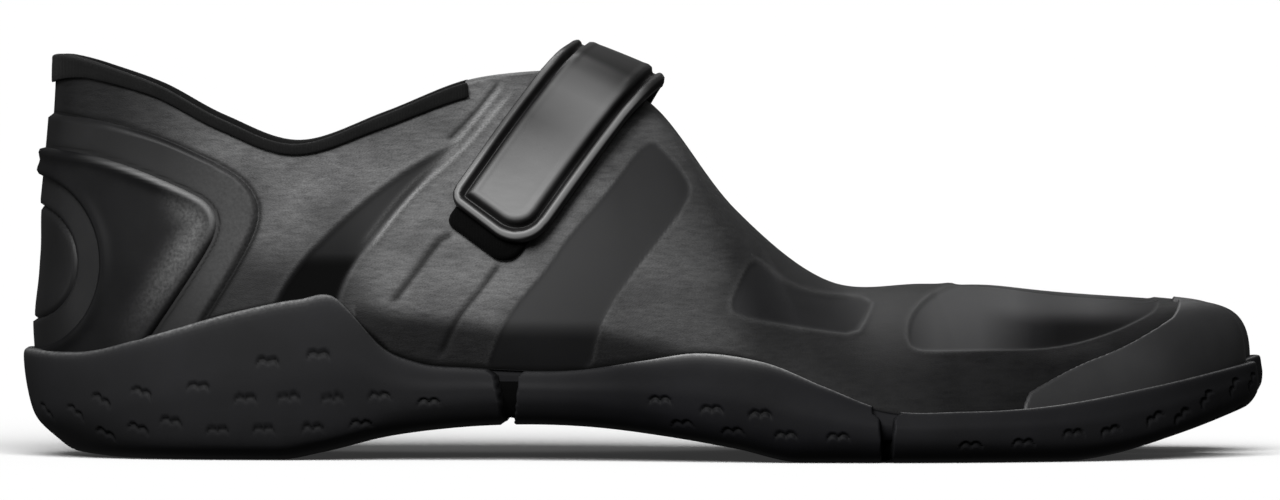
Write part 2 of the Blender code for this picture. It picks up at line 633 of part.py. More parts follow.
def prism(name, outline, low_y=-OUTSIDE, high_y=OUTSIDE):
    """An outline in the side view (x, z), drawn out across the shoe."""
    n = len(outline)
    points = [(x, y, z) for y in (low_y, high_y) for x, z in outline]
    faces = [list(range(n)), list(range(2 * n - 1, n - 1, -1))] + ring_faces(0, n, n)
    return solid(name, points, faces, "film", helper=True)


def oval(name, half, grow=0.0, count=28):
    centre_x, centre_z = HEEL_OVAL_CENTRE
    turns = [2 * math.pi * i / count for i in range(count)]
    long, tall = half[0] + grow, half[1] + grow
    outline = [(centre_x + long * math.cos(t), centre_z + tall * math.sin(t)) for t in turns]
    return prism(name, outline)


def below_lip(name):
    """All the room up to just above the sole's lip, so that overlays stop there."""
    places = loop_places()
    n = len(places)
    share = rib_share_at(places, lip_height(places) + OVERLAY_LIP_GAP)
    inside, outside, growth = LIP_ROOM
    inner = skin(places, share, np.full(n, inside))
    outer = skin(places, share, outside + growth * rim_column("base_wall", places))
    foot = rib_points(places, np.zeros(n))
    foot[:, :2] -= plan_normal(places) * LIP_ROOM_INSET
    floor = (0, 0, LIP_ROOM_FLOOR)
    rings = [inner, outer, outer * (1, 1, 0) + floor, foot * (1, 1, 0) + floor]
    faces = [face for i in range(4) for face in ring_faces(i * n, (i + 1) % 4 * n, n)]
    return solid(name, np.vstack(rings), faces, "rubber", helper=True)


def rounded(outline, rounds=2):
    """Corners of an open line softened by cutting them twice."""
    for _ in range(rounds):
        softer = [outline[0]]
        for (ax, az), (bx, bz) in zip(outline, outline[1:]):
            softer += [(a * ax + (1 - a) * bx, a * az + (1 - a) * bz) for a in (0.75, 0.25)]
        outline = softer + [outline[-1]]
    return outline


def counter_layer(name, edge, distances, opening):
    """One moulded layer of the heel counter: the upper's form between two distances, cut to its outline."""
    made = layered(name, patch_places(-6, 6), RIB_SHARES[1:], distances, "film", closed=False)
    outline = rounded(edge, 1) + [(-160, 0)]
    boolean(made, prism(f"{name}_outline", outline), "INTERSECT")
    boolean(made, oval(f"{name}_oval", opening), "DIFFERENCE")
    boolean(made, bpy.data.objects["sole_room"], "DIFFERENCE")
    return made


def heel_disc():
    """The smooth oval that shows through the heel counter's openings."""
    made = layered("heel_disc", patch_places(-3, 3), RIB_SHARES[1:], HEEL_DISC_SKIN, "film", closed=False)
    boolean(made, oval("heel_disc_outline", COUNTER_BASE_OVAL, -GAP), "INTERSECT")
    return made


def toe_cap(name, stations):
    """A thin rubber guard over one toe pocket, from its swept rear edge down to the sole's lip."""
    made = layered(name, patch_places(*stations), RIB_SHARES, TOE_CAP_SKIN, "film", closed=False)
    outline = rounded(TOE_CAP_EDGE, 1) + [(160, 48), (160, 0)]
    boolean(made, prism(f"{name}_outline", outline), "INTERSECT")
    boolean(made, bpy.data.objects["sole_room"], "DIFFERENCE")
    return made


def strap_wrap():
    """The band's path on the upper, as functions of s (across it) and of the length along it."""
    u, v = np.meshgrid(loop_places(), RIB_SHARES)
    n = u.shape[1]
    faces = [face for row in range(len(RIB_SHARES) - 1) for face in ring_faces(row * n, (row + 1) * n, n)]
    surface = BVHTree.FromPolygons(rib_points(u, v).reshape(-1, 3).tolist(), faces)
    lean = np.array([math.cos(STRAP_TILT), 0, math.sin(STRAP_TILT)])
    wide = np.array([math.sin(STRAP_TILT), 0, -math.cos(STRAP_TILT)])
    across = np.linspace(-WRAP_HALF_WIDTH, WRAP_HALF_WIDTH, WRAP_LINES) * STRAP_WIDTH
    angles = WRAP_ANGLES
    radii = np.full((len(across), len(angles)), np.nan)
    for i, s in enumerate(across):
        middle = np.array(STRAP_CREST) + wide * s - lean * STRAP_DEPTH
        for j, angle in enumerate(angles):
            heading = lean * math.cos(angle) + np.array([0, math.sin(angle), 0])
            place, _, _, length = surface.ray_cast(Vector(middle), Vector(heading))
            radii[i, j] = length if place else np.nan
    mean, slope = np.zeros(len(angles)), np.zeros(len(angles))
    for j in range(len(angles)):
        known = ~np.isnan(radii[:, j])
        slope[j], mean[j] = np.polyfit(across[known], radii[known, j], 1)
        mean[j] += max(0.0, np.max(radii[known, j] - mean[j] - slope[j] * across[known]))
    mean, slope = (np.convolve(np.pad(c, 2, "edge"), WRAP_SOFTENING, "valid") for c in (mean, slope))
    middle_y = np.array(STRAP_CREST)[1] + mean * np.sin(angles)
    steps = np.hypot(np.diff(mean * np.cos(angles)), np.diff(middle_y))
    length = np.concatenate([[0], np.cumsum(steps)])
    length -= np.interp(0, angles, length)

    def at(s, place):
        angle = np.interp(place, length, angles)
        s = s + along(STRAP_DRIFT, place)
        radius = np.interp(angle, angles, mean) + np.interp(angle, angles, slope) * s
        middle = np.array(STRAP_CREST) + wide * s[..., None] - lean * STRAP_DEPTH
        heading = lean * np.cos(angle)[..., None] + np.array([0, 1, 0]) * np.sin(angle)[..., None]
        return middle + heading * radius[..., None]

    def normal(s, place):
        step = WRAP_NORMAL_STEP
        run = at(s, place + step) - at(s, place - step)
        side = at(s + step, place) - at(s - step, place)
        found = np.cross(side, run)
        return found / np.linalg.norm(found, axis=-1, keepdims=True)

    def free_end(s, drop):
        places = np.linspace(length[0], 0, 200)
        fall = (np.array(STRAP_CREST) - at(np.full(200, s), places)) @ lean
        return np.interp(-drop, -fall, places)

    return at, normal, free_end


def band(name, s_values, drop, corners, last, low, high, finish, wrap):
    """A closed band on the strap's path with a rounded free end. low and high: the heights of its faces."""
    at, normal, free_end = wrap
    half = max(abs(value) for value in s_values)
    first = []
    for value in s_values:
        corner = corners[0] if value < 0 else corners[1]
        cut = max(abs(value) - (half - corner), 0)
        first.append(free_end(value, drop - corner + math.sqrt(max(corner**2 - cut**2, 0))))
    first = np.array(first)
    run = last - first.min()
    inset = np.array([0, *STRAP_PANEL_INSET]) / run
    inside = np.linspace(inset[-1], 1 - inset[-1], STRAP_STEPS)[1:-1]
    shares = np.concatenate([inset, inside, 1 - inset[::-1]])
    place = first + shares[:, None] * (last - first)
    s = np.broadcast_to(np.array(s_values, float), place.shape)
    rows, columns = place.shape
    rim_along = np.minimum(shares, 1 - shares)[:, None] * run
    raised = np.minimum(half - np.abs(s), rim_along) > sum(STRAP_PANEL_INSET) / 2
    base, out = at(s, place), normal(s, place)
    under = base + out * low(place)[..., None]
    over = base + out * high(place, raised)[..., None]
    count = rows * columns
    faces = []
    for row in range(rows - 1):
        for quad in ring_faces(row * columns, (row + 1) * columns, columns, closed=False):
            faces += [quad, [count + i for i in quad[::-1]]]
    edge = list(range(columns))
    edge += [row * columns + columns - 1 for row in range(1, rows)]
    edge += list(range(count - 2, count - columns - 1, -1))
    edge += [row * columns for row in range(rows - 2, 0, -1)]
    faces += [[a, b, count + b, count + a] for a, b in zip(edge, edge[1:] + edge[:1])]
    return solid(name, np.vstack([under.reshape(-1, 3), over.reshape(-1, 3)]), faces, finish)


def strap_and_tape():
    """The moulded strap with its raised panel, and the hook tape between its free end and the upper."""
    wrap = strap_wrap()
    foot, top = STRAP_PANEL_INSET
    half = STRAP_WIDTH / 2
    s_values = [-half, -half + foot, -half + top, 0, half - top, half - foot, half]
    band(
        "strap", s_values, STRAP_DROP, STRAP_CORNERS, STRAP_MEDIAL,
        lambda place: along(STRAP_STANDOFF, place),
        lambda place, raised: along(STRAP_STANDOFF, place) + STRAP_THICK + STRAP_PANEL_RISE * raised,
        "moulded", wrap,
    )
    half = HOOK_TAPE_WIDTH / 2
    band(
        "hook_tape", [-half, -half / 3, half / 3, half], HOOK_TAPE_DROP, HOOK_TAPE_CORNERS, HOOK_TAPE_TOP,
        lambda place: np.full(place.shape, HOOK_TAPE_SKIN[0]),
        lambda place, raised: np.full(place.shape, HOOK_TAPE_SKIN[1]),
        "tape", wrap,
    )


def clear_scene():
    for old in list(bpy.data.objects):
        bpy.data.objects.remove(old)


def main():
    clear_scene()
    upper()
    outsole()
    insole()
    collar_binding()
    below_lip("sole_room")
    counter_layer("counter_base", COUNTER_BASE_EDGE, COUNTER_BASE_SKIN, COUNTER_BASE_OVAL)
    counter_layer("counter_top", COUNTER_TOP_EDGE, COUNTER_TOP_SKIN, COUNTER_TOP_OVAL)
    heel_disc()
    toe_cap("toe_cap_small", (BRANCH, ROOT))
    toe_cap("toe_cap_big", (ROOT, LOOP_SPANS - BRANCH))
    strap_and_tape()


main()
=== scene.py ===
"""Looks of the split-toe sneaker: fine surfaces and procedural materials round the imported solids.

The forms follow the part's own sections at a finer step. Millimetres in the tables, metres in the meshes.
+X points to the toe, +Y to the inner (big toe) side, +Z up. The sole stands on z = 0."""

import math
from collections import namedtuple

import bmesh
import bpy
import numpy as np
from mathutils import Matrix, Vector
from mathutils.bvhtree import BVHTree

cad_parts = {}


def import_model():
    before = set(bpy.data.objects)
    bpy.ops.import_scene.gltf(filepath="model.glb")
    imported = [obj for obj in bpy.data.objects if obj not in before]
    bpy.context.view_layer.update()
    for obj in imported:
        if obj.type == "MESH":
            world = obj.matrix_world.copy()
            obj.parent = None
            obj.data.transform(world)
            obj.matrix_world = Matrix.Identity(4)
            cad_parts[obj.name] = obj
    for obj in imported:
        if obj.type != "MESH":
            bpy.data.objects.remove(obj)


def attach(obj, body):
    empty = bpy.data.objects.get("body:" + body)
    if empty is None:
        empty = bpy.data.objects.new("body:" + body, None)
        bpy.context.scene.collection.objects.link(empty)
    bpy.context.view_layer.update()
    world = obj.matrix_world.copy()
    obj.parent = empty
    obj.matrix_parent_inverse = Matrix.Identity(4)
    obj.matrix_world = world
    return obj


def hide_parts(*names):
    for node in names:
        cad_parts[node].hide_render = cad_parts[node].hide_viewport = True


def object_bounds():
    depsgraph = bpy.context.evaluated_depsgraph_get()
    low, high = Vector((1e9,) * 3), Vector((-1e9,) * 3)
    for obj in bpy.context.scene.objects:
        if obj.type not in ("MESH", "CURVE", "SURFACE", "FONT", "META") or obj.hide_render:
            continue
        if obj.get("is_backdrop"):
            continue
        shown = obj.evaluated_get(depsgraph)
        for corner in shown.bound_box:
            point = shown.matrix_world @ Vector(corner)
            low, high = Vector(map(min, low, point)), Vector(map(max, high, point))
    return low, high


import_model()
cad_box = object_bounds()

Level = namedtuple("Level", "at value")


def levels(*rows):
    """A short table of values by place: along the foot, along a piece or across it."""
    return [Level(*row) for row in rows]


MM = 0.001
MIDDLE = np.array([-0.09, -1.84, 0.0])  # middle of the whole shoe in the tables' own frame
UP = np.array([0.0, 0.0, 1.0])
ACROSS = np.array([0.0, 1.0, 0.0])
TINY = 1e-12

# Sizes of the part, in millimetres.
GAP = 0.3
CUP_GAP = 0.55
UPPER_WALL = 2.4
UPRIGHT_HANDLE = 0.36  # share of a rib's height

# Station numbers along the foot: heel, collar front, start of the toe split, toe tips.
HEEL, COLLAR_FRONT, BRANCH, TIP = 0, 9, 13, 18
LOOP_SPANS = 2 * TIP + 2 * (TIP - BRANCH)
ROOT = TIP + (TIP - BRANCH)

# The last, heel to toe split, as in the part's source.
Main = namedtuple(
    "Main", "x outer inner top_x top_z top_outer top_inner roof rise reach bulge_out bulge_in"
)
MAIN = [
    Main(-132.0, 0.0, 0.0, -135.0, 91.2, 0.0, 0.0, 0.0, 0.16, 0.40, 14.0, 14.0),
    Main(-126.5, -13.2, 13.0, -131.8, 90.9, -9.5, 9.5, 0.0, 0.18, 0.40, 12.0, 12.0),
    Main(-116.0, -22.8, 22.0, -124.0, 88.8, -17.5, 17.5, 0.0, 0.24, 0.40, 8.0, 8.0),
    Main(-102.0, -28.2, 26.8, -111.0, 84.2, -22.8, 22.6, 0.0, 0.34, 0.40, 5.0, 5.4),
    Main(-84.0, -30.6, 28.0, -96.5, 76.6, -26.0, 25.6, 0.0, 0.40, 0.40, 4.0, 5.0),
    Main(-66.0, -32.0, 26.8, -79.5, 71.0, -27.4, 27.0, 0.0, 0.42, 0.40, 4.0, 5.6),
    Main(-48.0, -33.8, 25.4, -60.0, 77.5, -26.2, 26.0, 0.1, 0.42, 0.42, 4.2, 6.4),
    Main(-29.0, -36.6, 25.2, -40.8, 85.0, -21.5, 22.0, 0.35, 0.42, 0.45, 4.4, 6.4),
    Main(-11.0, -40.2, 28.0, -22.5, 87.8, -12.0, 13.5, 0.8, 0.42, 0.48, 4.2, 5.4),
    Main(7.0, -44.2, 33.2, -17.0, 87.8, 1.5, 1.5, 1.0, 0.42, 0.48, 3.0, 3.8),
    Main(24.0, -47.4, 38.6, 1.5, 80.4, 3.0, 3.0, 1.0, 0.42, 0.46, 1.8, 2.4),
    Main(40.0, -49.2, 42.4, 20.5, 56.4, 6.0, 6.0, 1.0, 0.42, 0.44, 1.0, 1.6),
    Main(56.0, -49.4, 44.2, 42.0, 39.8, 9.5, 9.5, 1.0, 0.45, 0.46, 0.6, 1.0),
    Main(72.0, -47.6, 44.8, 64.0, 39.0, 12.5, 12.5, 1.0, 0.50, 0.50, 0.4, 0.6),
]
Lobe = namedtuple("Lobe", "x outer cleft_x cleft crest_x crest crest_z rise reach bulge")
SMALL_TOES = [
    Lobe(88.0, -43.4, 89.0, 9.6, 80.5, 2.5, 38.3, 0.56, 0.54, 0.4),
    Lobe(104.0, -36.6, 104.5, 9.0, 96.5, -3.5, 37.0, 0.62, 0.58, 0.5),
    Lobe(119.0, -27.6, 119.0, 7.8, 111.5, -6.0, 36.2, 0.68, 0.64, 0.6),
    Lobe(131.0, -15.2, 130.5, 4.6, 122.5, -6.2, 35.4, 0.74, 0.70, 0.7),
    Lobe(136.6, -4.2, 136.6, -4.2, 128.0, -5.6, 34.6, 0.78, 0.74, 1.2),
]
BIG_TOE = [
    Lobe(88.0, 45.6, 89.0, 14.8, 81.0, 23.5, 38.3, 0.56, 0.54, 0.4),
    Lobe(104.0, 45.6, 105.0, 15.0, 97.5, 28.5, 37.0, 0.62, 0.58, 0.5),
    Lobe(120.0, 43.4, 120.5, 15.8, 113.0, 29.6, 36.0, 0.68, 0.64, 0.6),
    Lobe(133.0, 37.6, 132.5, 18.6, 125.0, 29.2, 34.8, 0.74, 0.70, 0.7),
    Lobe(138.6, 28.0, 138.6, 28.0, 130.0, 28.6, 33.8, 0.78, 0.74, 1.4),
]
SPLIT_ROOT = (77.5, 12.4)
CLEFT_RISE, CLEFT_REACH = 0.66, 0.60

# The sole. Its underside rises a little earlier in front of the heel than the part's.
Rim = namedtuple("Rim", "station base_wall lip_wall edge_in edge_up")
RIMS = [
    Rim(0, 5.0, 3.2, 13.0, 9.0),
    Rim(1.5, 4.8, 3.0, 12.0, 9.5),
    Rim(3, 4.2, 2.4, 10.0, 10.5),
    Rim(9, 3.4, 1.9, 8.5, 11.0),
    Rim(13, 3.3, 1.8, 8.0, 9.0),
    Rim(16, 3.2, 1.9, 8.0, 8.0),
    Rim(18, 3.3, 2.2, 7.0, 9.0),
]
CLEFT_RIM = Rim(None, 1.3, 1.1, 1.6, 3.0)
CLEFT_LIP_RISE = 2.6
RIM_EASE, LIP_EASE = 2.0, 2.5  # stations over which the wall and the lip change at the toe tips
UNDERSIDE = levels(
    (-143, 0), (-84, 0), (-74, 1.7), (-60, 5.2), (-46, 7.2), (-30, 8.2), (-14, 7.8), (4, 5.7), (20, 3.0),
    (35, 0), (96, 0), (108, 1.4), (122, 5.2), (143, 12.6),
)
BED_THICK = levels((-143, 7.0), (-40, 6.4), (40, 5.4), (143, 5.0))
LIP = levels(
    (-143, 25.4), (-126, 24.6), (-112, 28.2), (-92, 33.8), (-79, 36.3), (-70, 36.6), (-66, 32.6), (-60, 26.0),
    (-52, 22.4), (-40, 21.2), (-16, 20.8), (0, 23.0), (12, 24.5), (26, 22.4), (40, 16.6), (53, 11.6),
    (72, 11.0), (92, 12.4), (114, 16.4), (128, 19.6), (143, 23.2),
)
# Its rings, in order from inside the wall over the lip to the lower edge.
INSIDE_RINGS = (0.5, 0.75, 0.96)  # shares of the lip's height
LIP_RINGS = (0.3, 0.72)  # shares of the wall
OUTSIDE_RINGS = (0.93, 0.62, 0.3)  # shares of the lip's height
EDGE_ANGLES = (25, 55, 90)  # degrees round the lower edge
EDGE_SQUASH = 0.8  # of the lower edge's height
EDGE_MOST = 0.85  # of the wall's height
LIP_RING = 4  # which of the rings runs along the outside of the lip
# Along the foot: painted highlight on the lip's edge, painted light on the sole's side, and a broader painted
# shine on the lip.
LIP_HIGHLIGHT = levels(
    (-142, 0.4), (-118, 0.25), (-108, 0.65), (-74, 0.7), (-64, 0.1), (-8, 0.05), (2, 0.8), (14, 1.4),
    (30, 1.1), (60, 1.3), (92, 1), (112, 0.4), (143, 0.3),
)
SOLE_SIDE_LIGHT = levels(
    (-142, 0.05), (-80, 0.04), (-45, 0.035), (-25, 0.03), (-5, 0), (42, 0), (60, 0.02), (143, 0.03),
)
LIP_SHINE = levels((-4, 0), (8, 0.9), (20, 1), (34, 0.25), (46, 0))
LIP_HIGHLIGHT_LINE, LIP_SHINE_LINE = (0.25, 0.4), (0.2, 0.6)  # rings past the lip's ring, half width
Groove = namedtuple("Groove", "lip_x lip_width under_x under_width floor notch")
GROOVES = [Groove(-31.8, 5.6, -31.2, 2.2, 6.0, 2.2), Groove(54.6, 3.2, 54.6, 2.2, 0.4, 0.0)]
GROOVE_FLARE = 1.6  # rounding where a groove runs out over the lip
GROOVE_NOTCH = 1.6  # half width of the small notch right across below
GROOVE_PAST = 0.5  # how far a groove runs past the wall's inside
GROOVE_FROM = -1.5  # rings past the lip's ring
GROOVE_SOFT, GROOVE_FLOOR_SOFT = 0.4, 0.6
CUT_LEAST = 0.004  # a face with a deeper cut than this is made finer

# Tread scoops: rows of places (x, z) on the sole's side, and the size of one.
SCOOP_ROWS = [
    [(-85.7, 22.7), (-74.3, 23.8)],
    [(-124, 13.5), (-114.6, 15.1), (-101.7, 16.7), (-91, 14.2), (-81.1, 14.2), (-71.1, 14.2), (-60.3, 14.6),
     (-49.3, 13.3)],
    [(-140.4, 12.1), (-136.8, 10.5), (-130.1, 10.5), (-107.9, 8.9), (-97.2, 6.6), (-86.6, 6.9), (-75.4, 7.3),
     (-64.7, 8.2)],
    [(-122.8, 5.7), (-115.5, 7.0)],
    [(3.1, 14.0), (14.8, 12.1), (26.0, 11.0)],
    [(8.1, 8.7), (19.6, 7.1), (31.7, 6.2), (43.6, 6.0)],
    [(73.6, 3.9), (85.7, 4.3), (96.9, 6.6), (105.4, 7.1), (115.9, 9.6), (122.1, 9.9), (127.8, 13.7),
     (134.3, 16.3), (138.6, 17.2)],
    [(128.6, 8.4), (134.4, 10.6)],
]
SCOOP_SIZE = (5.6, 2.6, 0.8)  # along the sole, up its side, depth under its upper edge
SCOOP_HUMP = 0.21  # share of its length from its middle to the top of each hump
SCOOP_HALF, SCOOP_END = 0.51, 0.1  # share of its length from its middle to its end, and the run-out there
SCOOP_CHANNEL = 1.5  # from its upper edge down to where it runs out
SCOOP_EDGE = 0.3
# Painted shade in each scoop.
SCOOP_SHADE = 0.95  # how dark it is at its deepest
SCOOP_FROM = 0.6  # rings past the lip's ring
SCOOP_TILT = levels((-140, 50), (-100, 0), (95, 0), (132, -52))  # degrees along x

# Insole: rings round its edge.
Step = namedtuple("Step", "inset rise")
INSOLE_EDGE = [Step(0, 0), Step(0, 2.2), Step(0.25, 2.7), Step(0.8, 3.0), Step(2.0, 3.05), Step(4.0, 3.0)]
INSOLE_SPACE = 0.2  # to the upper, besides the gap

# Collar binding, slimmer than its solid round the dip of the collar.
BINDING_HEIGHT = levels((0, 5.6), (0.8, 4.7), (1.7, 2.9), (3, 1.8), (5, 1.5), (6.3, 2.1), (7, 2.6))
BINDING_END_STATION = 7
Rail = namedtuple("Rail", "climb out lift")  # share of its height, distance from the upper's face, lift
BINDING_FACE = [
    Rail(0, 0.3, 0), Rail(0, 0.74, -0.1), Rail(0.04, 0.9, 0), Rail(0.3, 0.95, 0), Rail(0.6, 0.95, 0),
    Rail(0.85, 0.9, 0),
]
BINDING_BACK = [
    Rail(0.5, -3.3, 0), Rail(0.04, -3.3, 0), Rail(0, -2.7, 0), Rail(1, -2.7, 0.3), Rail(1, 0.3, 0.3),
]
FOLD_MIDDLE, FOLD_HALF, FOLD_RISE, FOLD_POWER, FOLD_RAILS = -1.2, 2.1, 0.9, 0.7, 9  # over the collar
BINDING_UP = 0.97  # the collar's own direction is taken from this share of a rib to its top

# Overlays: loop places and rib shares that each covers, step from sunk to face, hidden border, back.
Overlay = namedtuple(
    "Overlay", "name node first last per_span rows low high sunk face soft start border back"
)
LOWER_LAYER = Overlay(
    "counter_lower_layer", "counter_base", -6, 6, 24, 100, 0.14, 0.97, -0.5, 1.2, 1.1, 0.35, 2.0, -1.2,
)
UPPER_LAYER = Overlay(
    "counter_upper_layer", "counter_top", -6, 6, 24, 100, 0.14, 0.97, -0.4, 2.5, 1.5, 0.35, 2.0, -1.3,
)
HEEL_DISH = Overlay("heel_dish", "heel_disc", -3, 3, 24, 90, 0.14, 0.97, -0.5, 0.8, 1.2, 0.5, 2.0, -1.4)
# The toe guards stand lower than their solids.
SMALL_GUARD = Overlay(
    "toe_guard_small", "toe_cap_small", BRANCH, ROOT, 26, 84, 0.1, 1.0, -1.9, 0.5, 0.7, 0.4, 0.9, -2.2,
)
BIG_GUARD = SMALL_GUARD._replace(
    name="toe_guard_big", node="toe_cap_big", first=ROOT, last=LOOP_SPANS - BRANCH,
)
BEAD = (0.6, 1.5, 1.4, 0.35)  # upper layer's rounded edge: height, inside its outline, half width, lowering
DISH = (0.7, 9.0)  # depth of the heel's hollow, and over how much it sinks
# Outlines in the side view (x, z).
COUNTER_BASE_EDGE = [
    (-160, 80), (-128, 78), (-112, 74), (-96, 66.8), (-90, 62.4), (-87.4, 56), (-91, 47), (-106, 23),
    (-116, 0), (-160, 0),
]
COUNTER_TOP_EDGE = [
    (-160, 72.6), (-130, 70.6), (-118, 67.4), (-102, 60.6), (-98, 57.4), (-96.8, 53), (-99.5, 46.6),
    (-118, 19), (-130, 0), (-160, 0),
]
TOE_CAP_EDGE = [
    (84, 0), (85.3, 15.1), (89.5, 17.6), (98, 22), (108, 25.5), (117, 30.4), (121.4, 33.2), (124, 48),
    (160, 48), (160, 0),
]
HEEL_OVAL_CENTRE = (-141.0, 44.6)
COUNTER_TOP_OVAL, COUNTER_BASE_OVAL = (17.0, 19.6), (11.6, 13.2)
# Painted contact shadow just outside a layer's edge.
EDGE_SHADOW = (0.5, 0.55, 0.8)  # dark line round a layer: distance outside its edge, half width, darkness
# Bands of painted highlight and sheen along the upper layer's edge, between two x and two heights. The x
# leans back below LEAN_TOP.
Band = namedtuple("Band", "most inside width x_from x_to z_from z_to lean")
LAYER_TOP_HIGHLIGHT = Band(1.0, 0.9, 0.6, -130, -108, 48, 57, 0.0)
LAYER_SHEEN = Band(0.7, 5.0, 3.4, -112, -98, 22, 50, 0.45)
LEAN_TOP = 55.0
# Painted light on the lower layer, more to its front.
LOWER_LAYER_LIGHT, LOWER_LAYER_LIGHT_X = 0.5, (-110, -90)  # the lower layer turns paler to the front

# Relief of the upper, drawn in the side view (x, z).
# Panels: smooth film zones, sunk by depth inside a raised border.
Panel = namedtuple("Panel", "name depth border soft rounds shade fade both_sides outline")
PANELS = [
    Panel("leaf", 0.9, 0.12, 1.3, 3, 0.75, 200, True, [
        (-43.1, 71.9), (-43.1, 71.9), (-53, 66.8), (-62.4, 60.2), (-71.5, 52), (-78.6, 44.9), (-84.5, 35.5),
        (-86, 27), (-72, 27), (-70, 38.2), (-66.5, 44.9), (-59.9, 53.3), (-51.6, 62.7),
    ]),
    Panel("landing", 0.3, 0.1, 0.6, 2, 0.5, 200, False, [
        (0.5, 73.6), (-9.3, 60.2), (-17.5, 51.3), (-22.3, 43.9), (-28, 37.5), (-32.8, 30.7), (-38, 17),
        (-14, 17), (-10.2, 32.5), (-3.1, 42.6), (6.3, 54.5), (9, 58.1), (10.4, 61.8), (8.4, 65.5),
        (4.9, 69.6),
    ]),
    Panel("vamp", 0.3, 0.2, 0.5, 1, 0, 200, True, [
        (24.2, 45.8), (27.2, 43.9), (31.5, 40.4), (36, 38.1), (42.7, 36.7), (51.8, 36.2), (50.2, 32.2),
        (47.6, 28.6), (40, 29.6), (29.6, 31.4), (20.4, 33.4), (19.2, 35.9), (21.4, 41),
    ]),
    Panel("toe", 0.4, 0.22, 0.7, 3, 0.1, 72, True, [
        (61, 25.4), (59.8, 27.6), (59.8, 30.2), (60.9, 33), (64.2, 36.2), (69.7, 38.5), (76.3, 40),
        (90, 50), (120, 50), (117.4, 34.8), (113.5, 32.4), (104.3, 29), (92.1, 26.4), (80, 25.4), (66, 25),
    ]),
]
PANEL_BORDER_WIDTH = 0.55
# Painted highlight on the raised borders, by their height.
PANEL_HIGHLIGHT = 0.6  # paleness of a border for each millimetre of its height
PANEL_FADE_LENGTH, PANEL_FADE_LEAST = 16.0, 0.08  # a border fades round x = fade, to this share
# Lines: raised (positive) or sunk (negative) by height, of the given half width.
Line = namedtuple("Line", "height width both_sides points")
LINES = [
    Line(0.42, 0.6, True, [(-31.4, 86.0), (-43.0, 72.3), (-55.2, 61.0), (-65.5, 48.0)]),
    Line(0.42, 0.6, True, [(-29.4, 84.6), (-41.2, 70.9), (-53.4, 59.6), (-63.5, 46.8)]),
    Line(-0.35, 0.45, True, [(-33.0, 86.4), (-39.0, 79.0), (-45.4, 72.4)]),
    Line(-0.8, 0.7, False, [(-43.8, 51.5), (-47, 49.7), (-52.1, 43), (-58.3, 34.8)]),
    Line(-0.7, 0.6, False, [(-32.8, 45.3), (-37.4, 39.1), (-42.9, 32), (-47.3, 22.7)]),
]
LINE_END = 0.1  # share of a line over which it runs out
# Painted shade in a sunk line.
LINE_SHADE = 0.75  # how dark a sunk line is
# Soft troughs and ridges where the upper gives: folds at the ball and ankle, and rolls over the toes.
Dent = namedtuple("Dent", "height x z half_length half_width angle")
DENTS = [
    Dent(-0.4, -60.5, 62, 8, 3, 52),
    Dent(0.8, 77, 34, 9, 7, 0),
    Dent(-1.3, 97, 28.4, 14, 4.6, 12),
]
SPLIT_CREST = (0.7, 1.0)  # inside the split, the relief comes in between these shares of a rib
# Line above the arch under which the upper tucks in, and how far it tucks in over how much height.
TUCK_LINE = levels((-66, 36.5), (-57, 34.6), (-47, 33.2), (-33, 31.3), (-10, 31), (0, 28.4), (12, 25))
TUCK_DEPTH, TUCK_DROP, TUCK_MOST, TUCK_END = 1.9, 10.0, 1.2, 8.0

# Tones of the upper. Painted light on the knit along the foot, standing in for the lamp's broad highlight:
# brightest round the ankle, dark over the toes.
KNIT_PAINTED_LIGHT = levels(
    (-140, 0), (-120, 0.07), (-106, 0.35), (-92, 0.9), (-79, 1), (-62, 0.84), (-50, 0.68), (-35, 0.8),
    (-5, 0.38), (14, 0.25), (26, 0.08), (34, 0.08), (52, 0.035), (70, 0),
)
# Zones of painted shade, on the heel, low in the leaf's recess and over the tucked arch, lie between two x or
# two heights, from none of it to all of it.
HEEL_DARK, HEEL_DARK_X, HEEL_DARK_Z = 0.85, (-58, -70), (64, 40)
LEAF_FRONT, LEAF_DARK_Z = -40.0, (54, 44)
TUCK_DARK, TUCK_BLACK, TUCK_DARK_X, TUCK_SOFT, TUCK_START = 0.9, 0.1, (20, 0), 5.0, 0.3
# Inside the toe panel: painted sheen low on its side and on its top, and painted shade on its side.
TOE_SHEEN = levels((58, 0), (66, 0.3), (76, 0.35), (88, 0.03), (96, 0))
TOE_TOP_SHEEN = levels((76, 0), (84, 0.35), (92, 0.25), (102, 0.35), (112, 0.1), (118, 0))
TOE_SIDE_SHADE = levels((86, 0), (94, 0.7), (108, 0.7), (118, 0.2))
TOE_TOP_Z = (31, 35)
# Painted shadow: a dark line just over the sole's lip.
LIP_SHADOW = 0.02  # dark line over the sole's lip, as a share of the upper's height

# The strap, with a wider flange than its solid. Lengths run from its crest, negative on the outer side.
STRAP_TILT = math.radians(54.0)
STRAP_CREST = np.array([-6.6, 2.0, 91.3])
STRAP_DEPTH = 38.0
Strip = namedtuple("Strip", "name node slot width drop corners last step")
STRAP = Strip("moulded_strap", "strap", "moulded", 22.5, 49.0, (3.5, 9.0), 50.0, 0.36)
HOOK_TAPE = Strip("hook_patch", "hook_tape", "tape", 18.0, 53.0, (2.0, 5.0), -26.0, 0.5)
STRIP_CROWDING = 0.25  # how much its columns crowd at its edges
STRAP_STANDOFF = levels((-60, 2.4), (-30, 2.6), (0, 4.2), (30, 1.8), (60, 0.5))
STRAP_DRIFT = levels((-60, -0.6), (-24, -0.6), (0, 2.2), (60, 2.2))
HOOK_TAPE_LIFT = 0.4
